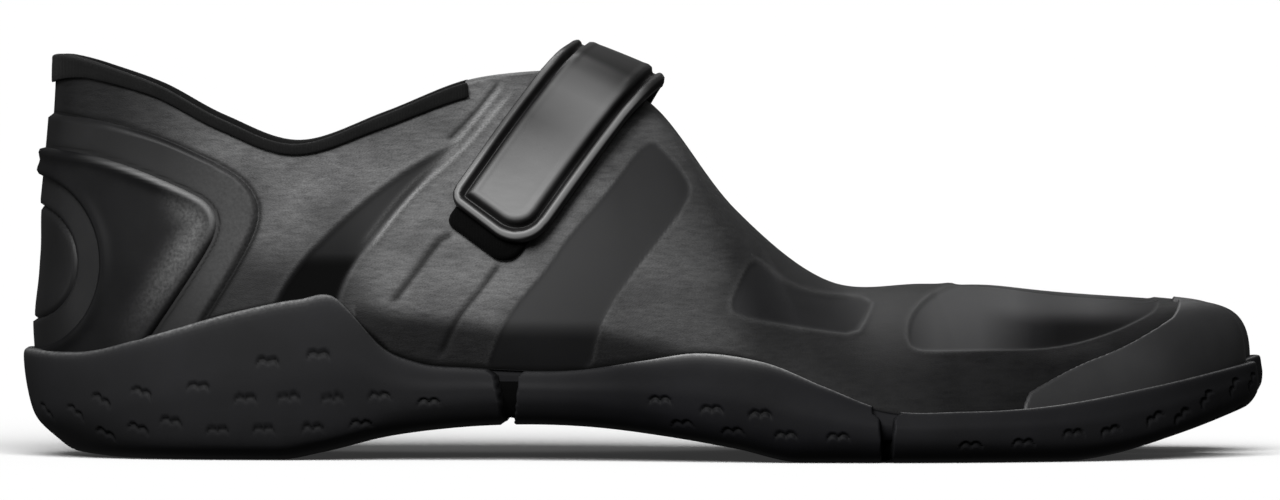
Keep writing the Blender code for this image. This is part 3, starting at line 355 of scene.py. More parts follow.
# Sections: height over the underside, by distance from the edge: flange, groove, raised panel.
STRAP_SECTION = levels(
    (0, 0.9), (0.2, 1.8), (0.45, 2.1), (2.2, 2.2), (2.4, 1.95), (2.6, 1.4), (3.2, 1.35), (3.4, 2.3),
    (3.65, 2.95), (4.2, 3.3), (6.2, 3.42), (12, 3.5),
)
HOOK_TAPE_SECTION = levels((0, 0.5), (0.3, 1.2), (0.8, 1.5), (12, 1.5))
CREST_FILL, CREST_FILL_REACH = 1.95, (13, 6)  # the groove is filled to this height near the crest
STRAP_RIM_FROM, STRAP_RIM_TO, STRAP_PANEL = (0.4, 0.65), (1.85, 1.6), (3.8, 4.8)  # distances from the edge
# Tones along the strap: painted highlights on its toe side (front) and heel side (back), and painted shade on
# its crest.
STRAP_RIM_FRONT = levels((-60, 1), (-30, 0.9), (-20, 1.3), (-10, 0.3), (8, 0.2), (20, 0.5), (60, 0.5))
STRAP_RIM_BACK = levels(
    (-58, 1), (-50, 0.8), (-42, 0.35), (-30, 0.35), (-20, 0.6), (-10, 0.1), (8, 0.1), (20, 0.4), (60, 0.4),
)
STRAP_PANEL_FRONT = levels(
    (-60, 0.75), (-46, 0.6), (-34, 0.6), (-25, 0.75), (-19, 0.45), (-13, 0.02), (60, 0.03),
)
STRAP_PANEL_BACK = levels(
    (-60, 0.7), (-46, 0.3), (-34, 0.14), (-25, 0.5), (-19, 0.4), (-13, 0.02), (60, 0.03),
)
STRAP_CREST_DARK = levels((-20, 0), (-12, 0.7), (6, 0.6), (14, 0.1), (60, 0.1))
WRAP_HALF_WIDTH, WRAP_LINES = 0.55, 9
WRAP_ANGLES = np.radians(np.arange(-132, 133, 4))
WRAP_SOFTENING = np.array([1, 2, 3, 2, 1]) / 9
WRAP_NORMAL_STEP = 1.5
WRAP_SAMPLES = 2
WRAP_RIB = (np.arange(10) / 9) ** 1.15
WRAP_END_STEPS = 200

# Steps of the fine surfaces.
OUTER_PER_SPAN, OUTER_ROWS = 32, 108
INNER_PER_SPAN, INNER_ROWS = 16, 54
UPPER_START = 0.4  # where the face starts, as a share of the way up to the sole's lip
LINING_PER_SPAN, LINING_ROWS, LINING_START = 8, 12, 0.04
COLLAR_TURNS, COLLAR_RISE = 7, 0.8  # rows and height of the collar's rounded rim
LIP_SAMPLES = 4
EASE_WIDTH = 0.45  # of the kink at the collar's front, in stations
EASE_SHIFTS = np.linspace(-0.4, 0.4, 9)
SOLE_PER_SPAN, SOLE_ROWS, SOLE_FINE = 16, 52, 3
INSOLE_PER_SPAN, BINDING_PER_SPAN = 10, 14
HALVINGS, LIP_ROUNDS = 30, 8
CORNER_CUT = 0.25


# Soft steps.
def smooth_step(value):
    f = np.clip(value, 0, 1)
    return f * f * (3 - 2 * f)


def between(value, start, end):
    """A soft step from 0 at start to 1 at end, which may lie either way."""
    return smooth_step((value - start) / (end - start))


def bell(value, width):
    return np.exp(-((value / width) ** 2))


# Curves and sections, as in the part's source.
def hermite(a, b, slope_a, slope_b, f):
    return (
        a * (1 + 2 * f) * (1 - f) ** 2 + slope_a * f * (1 - f) ** 2
        + b * f**2 * (3 - 2 * f) - slope_b * f**2 * (1 - f)
    )


def closed_spline(values, u):
    """Catmull-Rom through the rows of values, round a closed loop."""
    count = len(values)
    first = np.floor(u).astype(int)
    f = (u - first)[..., None]
    before, a, b, after = (values[(first + step) % count] for step in (-1, 0, 1, 2))
    return hermite(a, b, (b - before) / 2, (after - a) / 2, f)


def open_spline(values, t):
    """Catmull-Rom through the rows of values, from the first (t = 0) to the last."""
    ends = np.concatenate([2 * values[:1] - values[1:2], values, 2 * values[-1:] - values[-2:-1]])
    first = np.clip(np.floor(t).astype(int), 0, len(values) - 2)
    f = (t - first).reshape(np.shape(t) + (1,) * (values.ndim - 1))
    before, a, b, after = (ends[first + step] for step in range(4))
    return hermite(a, b, (b - before) / 2, (after - a) / 2, f)


def along(table, x):
    """A smooth profile through a short table of levels."""
    xs, zs = np.array(table, float).T
    slopes = np.gradient(zs, xs)
    flat = np.isclose(np.diff(zs), 0)
    slopes[:-1][flat] = 0
    slopes[1:][flat] = 0
    i = np.clip(np.searchsorted(xs, x) - 1, 0, len(xs) - 2)
    step = xs[i + 1] - xs[i]
    f = np.clip((x - xs[i]) / step, 0, 1)
    return hermite(zs[i], zs[i + 1], slopes[i] * step, slopes[i + 1] * step, f)


def straight(table, x):
    return np.interp(x, *np.array(table, float).T)


def bed_height(x):
    return along(UNDERSIDE, x) + along(BED_THICK, x)


def loop_rows():
    """The outline's control rows: outer side, split, inner side. Columns: x, y, rise, reach, bulge, roof."""
    outer = [(r.x, r.outer, r.rise, r.reach, r.bulge_out, r.roof) for r in MAIN]
    outer += [(r.x, r.outer, r.rise, r.reach, r.bulge, 1) for r in SMALL_TOES]
    small_wall = [(r.cleft_x, r.cleft, CLEFT_RISE, CLEFT_REACH, 0, 1) for r in SMALL_TOES[:-1]]
    big_wall = [(r.cleft_x, r.cleft, CLEFT_RISE, CLEFT_REACH, 0, 1) for r in BIG_TOE[:-1]]
    root = [(*SPLIT_ROOT, CLEFT_RISE, CLEFT_REACH, 0, 1)]
    inner = [(r.x, r.inner, r.rise, r.reach, r.bulge_in, r.roof) for r in MAIN[1:]]
    inner += [(r.x, r.outer, r.rise, r.reach, r.bulge, 1) for r in BIG_TOE]
    return np.array(outer + small_wall[::-1] + root + big_wall + inner[::-1], float)


ROWS = loop_rows()


def station_of(u):
    """(station, is on the inner side, is in the split) of places round the loop."""
    u = np.mod(u, LOOP_SPANS)
    inner = u > ROOT
    mirrored = np.where(inner, LOOP_SPANS - u, u)
    split = mirrored > TIP
    return np.where(split, 2 * TIP - mirrored, mirrored), inner, split


def top_line(u):
    """Where each rib ends: on the collar, on the ridge, or on the crest of a toe pocket."""
    station, inner, _ = station_of(u)
    points = np.zeros(station.shape + (3,))
    for side, column, lobe in ((False, "top_outer", SMALL_TOES), (True, "top_inner", BIG_TOE)):
        tops = np.array([(r.top_x, getattr(r, column), r.top_z) for r in MAIN])
        collar, ridge = tops[: COLLAR_FRONT + 1], tops[COLLAR_FRONT:]
        crest = np.vstack([ridge[-1:], [(r.crest_x, r.crest, r.crest_z) for r in lobe]])
        spans = ((HEEL, COLLAR_FRONT, collar), (COLLAR_FRONT, BRANCH, ridge), (BRANCH, TIP, crest))
        for low, high, values in spans:
            here = (inner == side) & (station >= low) & (station <= high)
            points[here] = open_spline(values, station[here] - low)
    return points


def unit(vectors):
    return vectors / np.maximum(np.linalg.norm(vectors, axis=-1, keepdims=True), TINY)


def plan_normal(u):
    step = 0.02
    tangent = unit(closed_spline(ROWS[:, :2], u + step) - closed_spline(ROWS[:, :2], u - step))
    return np.stack([tangent[..., 1], -tangent[..., 0]], axis=-1)


def ridge_slope(u):
    """Fall of the ridge line per step forwards, which all ribs share where they meet."""
    step = 0.05
    station, inner, _ = station_of(u)
    side = np.where(inner, -1.0, 1.0)
    near = np.clip(station, COLLAR_FRONT + step, TIP - step)
    place = np.where(inner, LOOP_SPANS - near, near)
    ahead, behind = top_line(place + side * step), top_line(place - side * step)
    return (ahead[..., 2] - behind[..., 2]) / (ahead[..., 0] - behind[..., 0])


def rib_points(u, v):
    """The upper's outer surface: a rib climbs from the foot bed at v = 0 to the top line at v = 1."""
    x, y, rise, reach, bulge, roof = np.moveaxis(closed_spline(ROWS, u), -1, 0)
    foot = np.stack([x, y, bed_height(x) + GAP], axis=-1)
    top = top_line(u)
    height = (top[..., 2] - foot[..., 2])[..., None]
    out = np.concatenate([plan_normal(u), np.zeros(u.shape + (1,))], axis=-1)
    low_handle = foot + out * bulge[..., None] + UP * (rise[..., None] * height)
    upright = top - UP * (UPRIGHT_HANDLE * height)
    across = foot - top
    across[..., 2] = ridge_slope(u) * across[..., 0]
    arched = top + reach[..., None] * across
    weight = np.clip(roof, 0, 1)[..., None]
    high_handle = upright * (1 - weight) + arched * weight
    v = v[..., None]
    return (
        foot * (1 - v) ** 3 + low_handle * 3 * v * (1 - v) ** 2
        + high_handle * 3 * v**2 * (1 - v) + top * v**3
    )


def rib_normals(u, v):
    step, nearly_top = 0.01, 0.999
    span = rib_points(u + step, v) - rib_points(u - step, v)
    low, high = np.clip(v - step, 0, 1), np.clip(v + step, 0, 1)
    climb = rib_points(u, high) - rib_points(u, low)
    ridge = np.stack([-ridge_slope(u), np.zeros(u.shape), np.ones(u.shape)], axis=-1)
    on_ridge = (v > nearly_top) & (station_of(u)[0] >= COLLAR_FRONT)
    return unit(np.where(on_ridge[..., None], ridge, np.cross(span, climb)))


def skin(u, v, distance):
    """The upper's surface moved outwards by a distance."""
    return rib_points(u, v) + rib_normals(u, v) * np.asarray(distance)[..., None]


def rib_share_at(u, z):
    """How far up its rib (0 to 1) each place reaches height z."""
    low, high = np.zeros(u.shape), np.ones(u.shape)
    for _ in range(HALVINGS):
        middle = (low + high) / 2
        below = rib_points(u, middle)[..., 2] < z
        low, high = np.where(below, middle, low), np.where(below, high, middle)
    return (low + high) / 2


def rim_column(column, places):
    """A sole size round the loop: by station outside, thin inside the split, eased at the toe tips."""
    station, _, split = station_of(places)
    outside = np.interp(station, [r.station for r in RIMS], [getattr(r, column) for r in RIMS])
    inside = outside + (getattr(CLEFT_RIM, column) - outside) * smooth_step((TIP - station) / RIM_EASE)
    return np.where(split, inside, outside)


def lip_height(places):
    """Height of the sole's lip: the waved side profile at the place where each rib crosses it."""
    station, _, split = station_of(places)
    x = closed_spline(ROWS, places)[..., 0]
    for _ in range(LIP_ROUNDS):
        outside = along(LIP, x)
        x = rib_points(places, rib_share_at(places, outside))[..., 0]
    low = bed_height(x) + CLEFT_LIP_RISE
    inside = outside + (low - outside) * smooth_step((TIP - station) / LIP_EASE)
    return np.where(split, inside, outside)


# Distances in the side view.
def line_distance(points, line):
    """Distance of side-view points from a line of points, and how far along it (0 to 1) the nearest is."""
    best = np.full(points.shape[:-1], np.inf)
    share = np.zeros(points.shape[:-1])
    count = len(line) - 1
    for i, (a, b) in enumerate(zip(line, line[1:])):
        run = b - a
        t = np.clip(((points - a) @ run) / max(run @ run, TINY), 0, 1)
        found = np.linalg.norm(points - a - t[..., None] * run, axis=-1)
        nearer = found < best
        best = np.where(nearer, found, best)
        share = np.where(nearer, (i + t) / count, share)
    return best, share


def inside_distance(points, outline):
    """Distance from a closed outline, positive inside it."""
    best, _ = line_distance(points, np.vstack([outline, outline[:1]]))
    inside = np.zeros(points.shape[:-1], bool)
    x, z = points[..., 0], points[..., 1]
    for (ax, az), (bx, bz) in zip(outline, np.roll(outline, -1, axis=0)):
        crosses = (az > z) != (bz > z)
        at = ax + (z - az) * (bx - ax) / np.where(abs(bz - az) < TINY, TINY, bz - az)
        inside ^= crosses & (x < at)
    return np.where(inside, best, -best)


def oval_distance(side, half):
    """Distance inside an oval round the heel's middle, positive inside."""
    away = (side - np.array(HEEL_OVAL_CENTRE)) / np.array(half)
    return (1 - np.linalg.norm(away, axis=-1)) * min(half)


def cut_corners(outline, rounds=2):
    """A closed outline with its corners softened."""
    values = np.array(outline, float)
    for _ in range(rounds):
        after = np.roll(values, -1, axis=0)
        near = (1 - CORNER_CUT) * values + CORNER_CUT * after
        far = CORNER_CUT * values + (1 - CORNER_CUT) * after
        values = np.stack([near, far], axis=1).reshape(-1, 2)
    return values


def smooth_line(line, per_span=6):
    values = np.array(line, float)
    return open_spline(values, np.linspace(0, len(values) - 1, (len(values) - 1) * per_span + 1))


# Relief and marks of the upper.
def tuck(points):
    """How far the upper tucks in over the arch."""
    x, z = points[..., 0], points[..., 2]
    ends = smooth_step((x - TUCK_LINE[0].at) / TUCK_END) * smooth_step((TUCK_LINE[-1].at - x) / TUCK_END)
    return TUCK_DEPTH * ends * np.clip((straight(TUCK_LINE, x) - z) / TUCK_DROP, 0, TUCK_MOST)


def upper_relief(points, inner):
    """(height, film, edge, shade) at the upper's points: how far they stand out, how much of each is smooth
    film, how much painted highlight raised borders and lines carry, and how dark: darker panels, painted
    shade in sunk lines."""
    side = points[..., [0, 2]]
    height, film, edge, shade = np.zeros((4, *side.shape[:-1]))
    outer = np.where(inner, 0.0, 1.0)
    for panel in PANELS:
        here = 1.0 if panel.both_sides else outer
        within = inside_distance(side, cut_corners(panel.outline, panel.rounds))
        sunk = here * smooth_step(within / panel.soft + 0.5)
        faded = 1 - smooth_step((panel.fade - side[..., 0]) / PANEL_FADE_LENGTH + 0.5)
        bead = here * panel.border * bell(within + 0.5 * panel.soft, PANEL_BORDER_WIDTH)
        bead = bead * (1 - (1 - PANEL_FADE_LEAST) * faded)
        height += bead - panel.depth * sunk
        film = np.maximum(film, sunk)
        shade = np.maximum(shade, sunk * panel.shade)
        edge = np.maximum(edge, bead * PANEL_HIGHLIGHT)
    for line in LINES:
        here = 1.0 if line.both_sides else outer
        away, share = line_distance(side, smooth_line(line.points))
        bead = here * bell(away, line.width) * smooth_step(np.minimum(share, 1 - share) / LINE_END)
        height += line.height * bead
        # Raised lines carry painted highlight, sunk lines painted shade.
        if line.height > 0:
            edge = np.maximum(edge, bead)
        else:
            shade = np.maximum(shade, LINE_SHADE * bead)
    for dent in DENTS:
        away = side - np.array([dent.x, dent.z])
        turn = math.radians(dent.angle)
        lengthwise = away @ np.array([math.cos(turn), math.sin(turn)])
        crosswise = away @ np.array([-math.sin(turn), math.cos(turn)])
        height += dent.height * bell(lengthwise, dent.half_length) * bell(crosswise, dent.half_width)
    return height - tuck(points), film, edge, shade


def edge_shadow(side, edge):
    """How dark the painted contact shadow is just outside a layer's edge."""
    away, width, most = EDGE_SHADOW
    return most * bell(inside_distance(side, edge) + away, width)


def weave_places(points):
    """Where each point of a grid lies along the knit's courses and across them, in millimetres."""
    middle = points[len(points) // 2]
    run = np.concatenate([[0], np.cumsum(np.linalg.norm(np.diff(middle, axis=0), axis=-1))])
    climb = np.linalg.norm(np.diff(points, axis=0), axis=-1)
    down = np.concatenate([np.cumsum(climb[::-1], axis=0)[::-1], np.zeros((1, points.shape[1]))])
    return np.stack([np.broadcast_to(run, down.shape), down, np.zeros(down.shape)], axis=-1)


def upper_marks(base, film, edge, shade, under_lip):
    """Marks of the knit: smooth film, painted highlights on raised edges, painted light by place, painted
    shade and the run of its courses.
    """
    x, z = base[..., 0], base[..., 2]
    # Painted shade over the tucked arch and on the heel: less painted light there, and some black over the
    # arch.
    tucked = between(x, *TUCK_DARK_X) * (x > TUCK_LINE[0].at)
    tucked = tucked * smooth_step((straight(TUCK_LINE, x) - z) / TUCK_SOFT + TUCK_START)
    heel = between(x, *HEEL_DARK_X) * between(z, *HEEL_DARK_Z)
    toe_top = between(z, *TOE_TOP_Z)
    pale = straight(KNIT_PAINTED_LIGHT, x) * (1 - TUCK_DARK * tucked) * (1 - HEEL_DARK * heel)
    # Painted sheen inside the toe panel.
    pale = pale + film * (straight(TOE_SHEEN, x) + toe_top * straight(TOE_TOP_SHEEN, x))
    # Painted shade low in the leaf's recess.
    leaf = film * (x < LEAF_FRONT) * between(z, *LEAF_DARK_Z)
    # Painted shade on the toe panel's side.
    toe_side = film * (1 - toe_top) * straight(TOE_SIDE_SHADE, x)
    # Painted contact shadow round the counter's edge.
    shadow_line = edge_shadow(base[..., [0, 2]], cut_corners(COUNTER_BASE_EDGE))
    dark = np.maximum.reduce([under_lip, shade, leaf, toe_side, TUCK_BLACK * tucked, shadow_line])
    return {"film": film, "edge": edge, "dark": dark, "pale": pale, "weave": weave_places(base)}


# Meshes.
def spaced(first, last, per_span):
    """Even places round the loop, both ends among them."""
    return np.linspace(first, last, (last - first) * per_span + 1)


def front_only(marks, count):
    """Marks of a front, with none on the count of points that follow it."""
    return {label: np.append(values, np.zeros(count)) for label, values in marks.items()}


def grid_faces(rows, columns, first=0):
    low = (np.arange(rows - 1)[:, None] * columns + np.arange(columns - 1)) + first
    return np.stack([low, low + 1, low + columns + 1, low + columns], axis=-1).reshape(-1, 4)


def ring_faces(rows, count):
    """Quads between rows of closed rings."""
    here = np.arange(count)
    ahead = (here + 1) % count
    faces = []
    for low in range(0, (rows - 1) * count, count):
        faces.append(np.stack([low + here, low + ahead, low + count + ahead, low + count + here], axis=-1))
    return np.vstack(faces).tolist()


def rungs(per_span):
    """Faces that close a loop across the foot, running down both toe pockets."""
    n, tip, branch, root = (spans * per_span for spans in (LOOP_SPANS, TIP, BRANCH, ROOT))
    faces = [[0, 1, n - 1]]
    for i in range(1, branch - 1):
        faces.append([i, i + 1, n - i - 1, n - i])
    faces.append([branch - 1, branch, root, n - branch, n - branch + 1])
    for i in range(branch, tip):
        small = [i, i + 1, 2 * tip - i - 1, 2 * tip - i]
        big = [n - index for index in small][::-1]
        for face in (small, big):
            faces.append(list(dict.fromkeys(face)))
    return faces


def sheet_faces(faces, count):
    """Faces of a front sheet, of the same sheet behind it, and of the band that joins their free edges."""
    starts = faces.ravel()
    ends = np.roll(faces, -1, axis=1).ravel()
    seen = set(zip(starts.tolist(), ends.tolist()))
    band = [[b, a, count + a, count + b] for a, b in seen if (b, a) not in seen]
    return faces.tolist() + (count + faces[:, ::-1]).tolist() + sorted(band)


def trimmed(points, faces, marks):
    """Only the points that faces use."""
    used = np.unique(np.concatenate([np.asarray(face) for face in faces]))
    place = np.full(len(points), -1)
    place[used] = np.arange(len(used))
    kept = {label: values[used] for label, values in marks.items()}
    return points[used], [[int(place[i]) for i in face] for face in faces], kept


def piece(name, points, faces, finish, slot, replaced, marks=None, turn_out=True):
    """One named object from points in millimetres, riding on the part in place of a node."""
    mesh = bpy.data.meshes.new(name)
    points = (np.asarray(points, float) - MIDDLE) * MM
    mesh.from_pydata(points.tolist(), [], [list(map(int, face)) for face in faces])
    for label, values in (marks or {}).items():
        values = np.asarray(values, np.float32)
        flat = values.ndim == 1
        layer = mesh.attributes.new(label, "FLOAT" if flat else "FLOAT_VECTOR", "POINT")
        layer.data.foreach_set("value" if flat else "vector", values.ravel())
    if turn_out:
        work = bmesh.new()
        work.from_mesh(mesh)
        bmesh.ops.recalc_face_normals(work, faces=work.faces)
        work.to_mesh(mesh)
        work.free()
    mesh.materials.append(finish)
    mesh.shade_smooth()
    made = bpy.data.objects.new(name, mesh)
    bpy.context.scene.collection.objects.link(made)
    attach(made, "root")
    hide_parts(replaced)
    return made


# Materials: rubbers with painted light, painted highlights and painted shade from their marks, woven tapes
# with ribs per metre, and the knit's tones.
Rubber = namedtuple("Rubber", "name dark light roughness worn gloss")
RUBBERS = [
    Rubber("bonded_film", (0.004, 0.004, 0.0042), (0.008, 0.008, 0.0083), 0.54, 0.045, 0.2),
    Rubber("toe_film", (0.013, 0.013, 0.0135), (0.02, 0.02, 0.0205), 0.5, 0.045, 0.25),
    Rubber("moulded_film", (0.003, 0.003, 0.0032), (0.006, 0.006, 0.0063), 0.52, 0.12, 0.07),
    Rubber("sole_rubber", (0.0035, 0.0035, 0.004), (0.006, 0.006, 0.007), 0.56, 0.2, 0.055),
    Rubber("strap_rubber", (0.004, 0.0038, 0.0039), (0.016, 0.0157, 0.0158), 0.44, 0.17, 0.16),
]
# Colours that the rubbers' marks mix in: painted light, and the black of painted shade.
RUBBER_LIT, RUBBER_SHADE_BLACK = (0.12, 0.12, 0.12), (0.0008, 0.0008, 0.0008)
Tape = namedtuple("Tape", "name dark light ribs gloss")
TAPES = [
    Tape("binding_tape", (0.002, 0.002, 0.002), (0.004, 0.004, 0.004), 900.0, 0.12),
    Tape("hook_tape_weave", (0.0008, 0.0008, 0.0008), (0.002, 0.002, 0.002), 900.0, 0.03),
    Tape("insole_fabric", (0.018, 0.018, 0.0185), (0.032, 0.032, 0.033), 500.0, 0.12),
]
# The knit's heather in a shaded and a lit copy, mixed by the painted light mark.
KNIT_SHADED = ((0.002, 0.002, 0.0021), (0.006, 0.006, 0.0062))
KNIT_LIT = ((0.05, 0.05, 0.0505), (0.16, 0.16, 0.1605))
KNIT_CLOUD = (0.010, 0.010, 0.0103)
KNIT_FILM = ((0.0025, 0.0025, 0.0028), (0.005, 0.005, 0.0055))
# The film's tone under painted light.
KNIT_FILM_LIT = (0.066, 0.066, 0.067)
# Colour of painted highlights on raised edges; black that the dark mark mixes in, for painted shade and
# darker film panels.
KNIT_HIGHLIGHT, KNIT_BLACK = (0.17, 0.17, 0.17), (0.0015, 0.0015, 0.0015)
KNIT_SHEEN = {"Sheen_Weight": 0.005, "Sheen_Roughness": 0.4, "Sheen_Tint": (0.95, 0.97, 1.0, 1)}
KNIT_ROUGH, TAPE_ROUGH, RUBBER_ROUGH_SPREAD = (0.52, 0.62), (0.78, 0.92), (-0.015, 0.025)
# Grain of the materials: repeats per metre along x, y and z, and per millimetre for the knit's courses.
KNIT_STREAKS, KNIT_CLOUDS, KNIT_COURSES = (330, 120, 1400), (60, 60, 110), (2.0, 3.4, 1)
RUBBER_CLOUDS, RUBBER_SCUFFS = (60, 60, 60), (260, 160, 900)
RUBBER_PORES, RUBBER_GRAIN = (2400, 2400, 2400), (1300, 1300, 1300)
TAPE_FUZZ, TAPE_WEAR = (1900, 1900, 1900), (70, 70, 90)
KNIT_BUMP, RUBBER_BUMP, TAPE_BUMP = 0.0002, 0.0001, 0.0003  # heights in metres


def new_material(name, colour, roughness, **constants):
    made = bpy.data.materials.new(name)
    made.use_nodes = True
    tree = made.node_tree
    shader = tree.nodes["Principled BSDF"]
    constants.update(Base_Color=(*colour, 1), Roughness=roughness)
    for socket, value in constants.items():
        shader.inputs[socket.replace("_", " ")].default_value = value
    return made, tree, shader


def put(tree, socket, value):
    """Gives a socket a link or a constant."""
    if isinstance(value, bpy.types.NodeSocket):
        tree.links.new(value, socket)
    else:
        socket.default_value = value


def node(tree, kind, inputs=None, **settings):
    made = tree.nodes.new(f"ShaderNode{kind}")
    for key, value in settings.items():
        setattr(made, key, value)
    for key, value in (inputs or {}).items():
        put(tree, made.inputs[key], value)
    return made


def mark(tree, name, output="Fac"):
    return node(tree, "Attribute", attribute_name=name).outputs[output]


def scaled(tree, place, scale):
    return node(tree, "Mapping", {"Vector": place, "Scale": scale}).outputs["Vector"]


def stretched(tree, scale):
    """Object coordinates, scaled along each axis: repeats per metre."""
    return scaled(tree, node(tree, "TexCoord").outputs["Object"], scale)


def noise(tree, place, detail=3.0, rough=0.55):
    inputs = {"Vector": place, "Scale": 1.0, "Detail": detail, "Roughness": rough}
    return node(tree, "TexNoise", inputs).outputs["Fac"]


def ramp(tree, value, low, high, to_low, to_high):
    inputs = {"Value": value, "From Min": low, "From Max": high, "To Min": to_low, "To Max": to_high}
    return node(tree, "MapRange", inputs).outputs["Result"]


def blend(tree, share, dark, light):
    mixed = node(tree, "Mix", data_type="RGBA")
    for index, value in ((0, share), (6, dark), (7, light)):
        put(tree, mixed.inputs[index], (*value, 1) if isinstance(value, tuple) else value)
    return mixed.outputs[2]


def maths(tree, operation, a, b):
    return node(tree, "Math", {0: a, 1: b}, operation=operation).outputs["Value"]


def dress(tree, shader, colour, roughness, height, strength, distance):
    """Wires a material's colour, roughness and bump."""
    bump = node(tree, "Bump", {"Height": height, "Strength": strength, "Distance": distance})
    tree.links.new(colour, shader.inputs["Base Color"])
    tree.links.new(roughness, shader.inputs["Roughness"])
    tree.links.new(bump.outputs["Normal"], shader.inputs["Normal"])


def knit_material():
    """Heathered stretch knit with smooth film zones, told apart by the film mark. Its marks paint light,
    highlights and shade into its colour.
    """
    made, tree, shader = new_material(
        "stretch_knit", (0.01, 0.01, 0.01), 0.5, Specular_IOR_Level=0.06, **KNIT_SHEEN
    )
    film, edge, dark, pale = (mark(tree, name) for name in ("film", "edge", "dark", "pale"))
    streaks = noise(tree, stretched(tree, KNIT_STREAKS), 4.0)
    speckle = noise(tree, scaled(tree, mark(tree, "weave", "Vector"), KNIT_COURSES), 2.0, 0.6)
    clouds = noise(tree, stretched(tree, KNIT_CLOUDS))
    heather = ramp(tree, streaks, 0.3, 0.72, 0, 0.5)
    heather = maths(tree, "ADD", heather, ramp(tree, speckle, 0.3, 0.7, 0, 0.5))
    # Painted light: the lit copies of the heather and of the film take over where its mark is high.
    knit = blend(tree, pale, blend(tree, heather, *KNIT_SHADED), blend(tree, heather, *KNIT_LIT))
    knit = blend(tree, ramp(tree, clouds, 0.35, 0.7, 0, 0.55), knit, KNIT_CLOUD)
    smooth = blend(tree, ramp(tree, clouds, 0.3, 0.7, 0, 1), *KNIT_FILM)
    tone = blend(tree, film, knit, blend(tree, pale, smooth, KNIT_FILM_LIT))
    # Painted highlights on raised borders and lines, broken up by the speckle; then the dark mark towards
    # black.
    worn = maths(tree, "MULTIPLY", edge, ramp(tree, speckle, 0.35, 0.65, 0.2, 0.8))
    tone = blend(tree, dark, blend(tree, worn, tone, KNIT_HIGHLIGHT), KNIT_BLACK)
    rough = maths(tree, "ADD", film, ramp(tree, speckle, 0.3, 0.7, -0.2, 0.2))
    rough = maths(tree, "MAXIMUM", ramp(tree, rough, 0, 1, *KNIT_ROUGH), dark)
    woven = maths(tree, "ADD", speckle, ramp(tree, streaks, 0.2, 0.8, 0, 0.25))
    dress(tree, shader, tone, rough, woven, ramp(tree, film, 0, 1, 0.3, 0.05), KNIT_BUMP)
    return made


def rubber_material(row):
    """Moulded rubber: satin, with faint clouding, pores and scuffs, painted light and highlights, and painted
    shade.
    """
    made, tree, shader = new_material(row.name, row.dark, row.roughness, Specular_IOR_Level=row.gloss)
    edge, pale, dark = (mark(tree, name) for name in ("edge", "pale", "dark"))
    clouds = noise(tree, stretched(tree, RUBBER_CLOUDS))
    pores = noise(tree, stretched(tree, RUBBER_PORES), 2.0)
    grain = noise(tree, stretched(tree, RUBBER_GRAIN))
    scuffs = noise(tree, stretched(tree, RUBBER_SCUFFS), 4.0, 0.65)
    share = maths(tree, "ADD", ramp(tree, clouds, 0.35, 0.7, 0, 0.7), ramp(tree, scuffs, 0.6, 0.8, 0, 0.3))
    worn = maths(tree, "MULTIPLY", edge, ramp(tree, grain, 0.3, 0.7, 0.35, 1.0))
    # Painted light mixed in by its mark, then painted highlights on edges, broken up by the grain.
    tone = blend(tree, pale, blend(tree, share, row.dark, row.light), RUBBER_LIT)
    tone = blend(tree, worn, tone, (row.worn, row.worn, row.worn))
    rough = ramp(tree, scuffs, 0.3, 0.75, *(row.roughness + change for change in RUBBER_ROUGH_SPREAD))
    rough = maths(tree, "MAXIMUM", rough, dark)
    # Painted shade towards black, by the dark mark.
    dress(tree, shader, blend(tree, dark, tone, RUBBER_SHADE_BLACK), rough, pores, 0.12, RUBBER_BUMP)
    return made


def tape_material(row):
    """Close-woven tape: a fine rib across it and loose fibre on top."""
    made, tree, shader = new_material(
        row.name, row.dark, 0.85, Specular_IOR_Level=row.gloss, Sheen_Weight=0.01
    )
    wave = {"Vector": stretched(tree, (1, 1, 1)), "Scale": row.ribs, "Distortion": 1.2, "Detail": 1.0}
    rib = node(tree, "TexWave", wave, bands_direction="X").outputs["Fac"]
    fuzz = noise(tree, stretched(tree, TAPE_FUZZ))
    wear = noise(tree, stretched(tree, TAPE_WEAR))
    tone = blend(tree, ramp(tree, wear, 0.35, 0.7, 0, 1), row.dark, row.light)
    rough = ramp(tree, fuzz, 0.3, 0.7, *TAPE_ROUGH)
    dress(tree, shader, tone, rough, maths(tree, "ADD", rib, fuzz), 0.4, TAPE_BUMP)
    return made


# Pieces.
def eased_ribs(u, shares):
    """Points and normals of the upper, averaged along the foot where the collar gives way to the ridge."""
    station, _, _ = station_of(u)
    weight = bell(station - COLLAR_FRONT, EASE_WIDTH)[..., None]
    base, normal = rib_points(u, shares), rib_normals(u, shares)
    mean_base, mean_normal = np.zeros(base.shape), np.zeros(base.shape)
    for shift in EASE_SHIFTS:
        mean_base += rib_points(u + shift, shares) / len(EASE_SHIFTS)
        mean_normal += rib_normals(u + shift, shares) / len(EASE_SHIFTS)
    return base + weight * (mean_base - base), unit(normal + weight * (mean_normal - normal))


def island(places, rows, lip_share):
    """One part of the upper's face: its loop places, points, normals and marks."""
    start = UPPER_START * lip_share
    shares = start + np.linspace(0, 1, rows + 1)[:, None] * (1 - start)
    u = np.broadcast_to(places, shares.shape)
    base, normal = eased_ribs(u, shares)
    _, inner, split = station_of(u)
    relief = upper_relief(base, inner | split)
    crest = between(shares, *SPLIT_CREST)
    height, film, edge, shade = (np.where(split, crest * value, value) for value in relief)
    # Painted shadow over the sole's lip, and black on the knit below it.
    under_lip = smooth_step((lip_share + LIP_SHADOW - shares) / LIP_SHADOW)
    return u, base + normal * height[..., None], normal, upper_marks(base, film, edge, shade, under_lip)


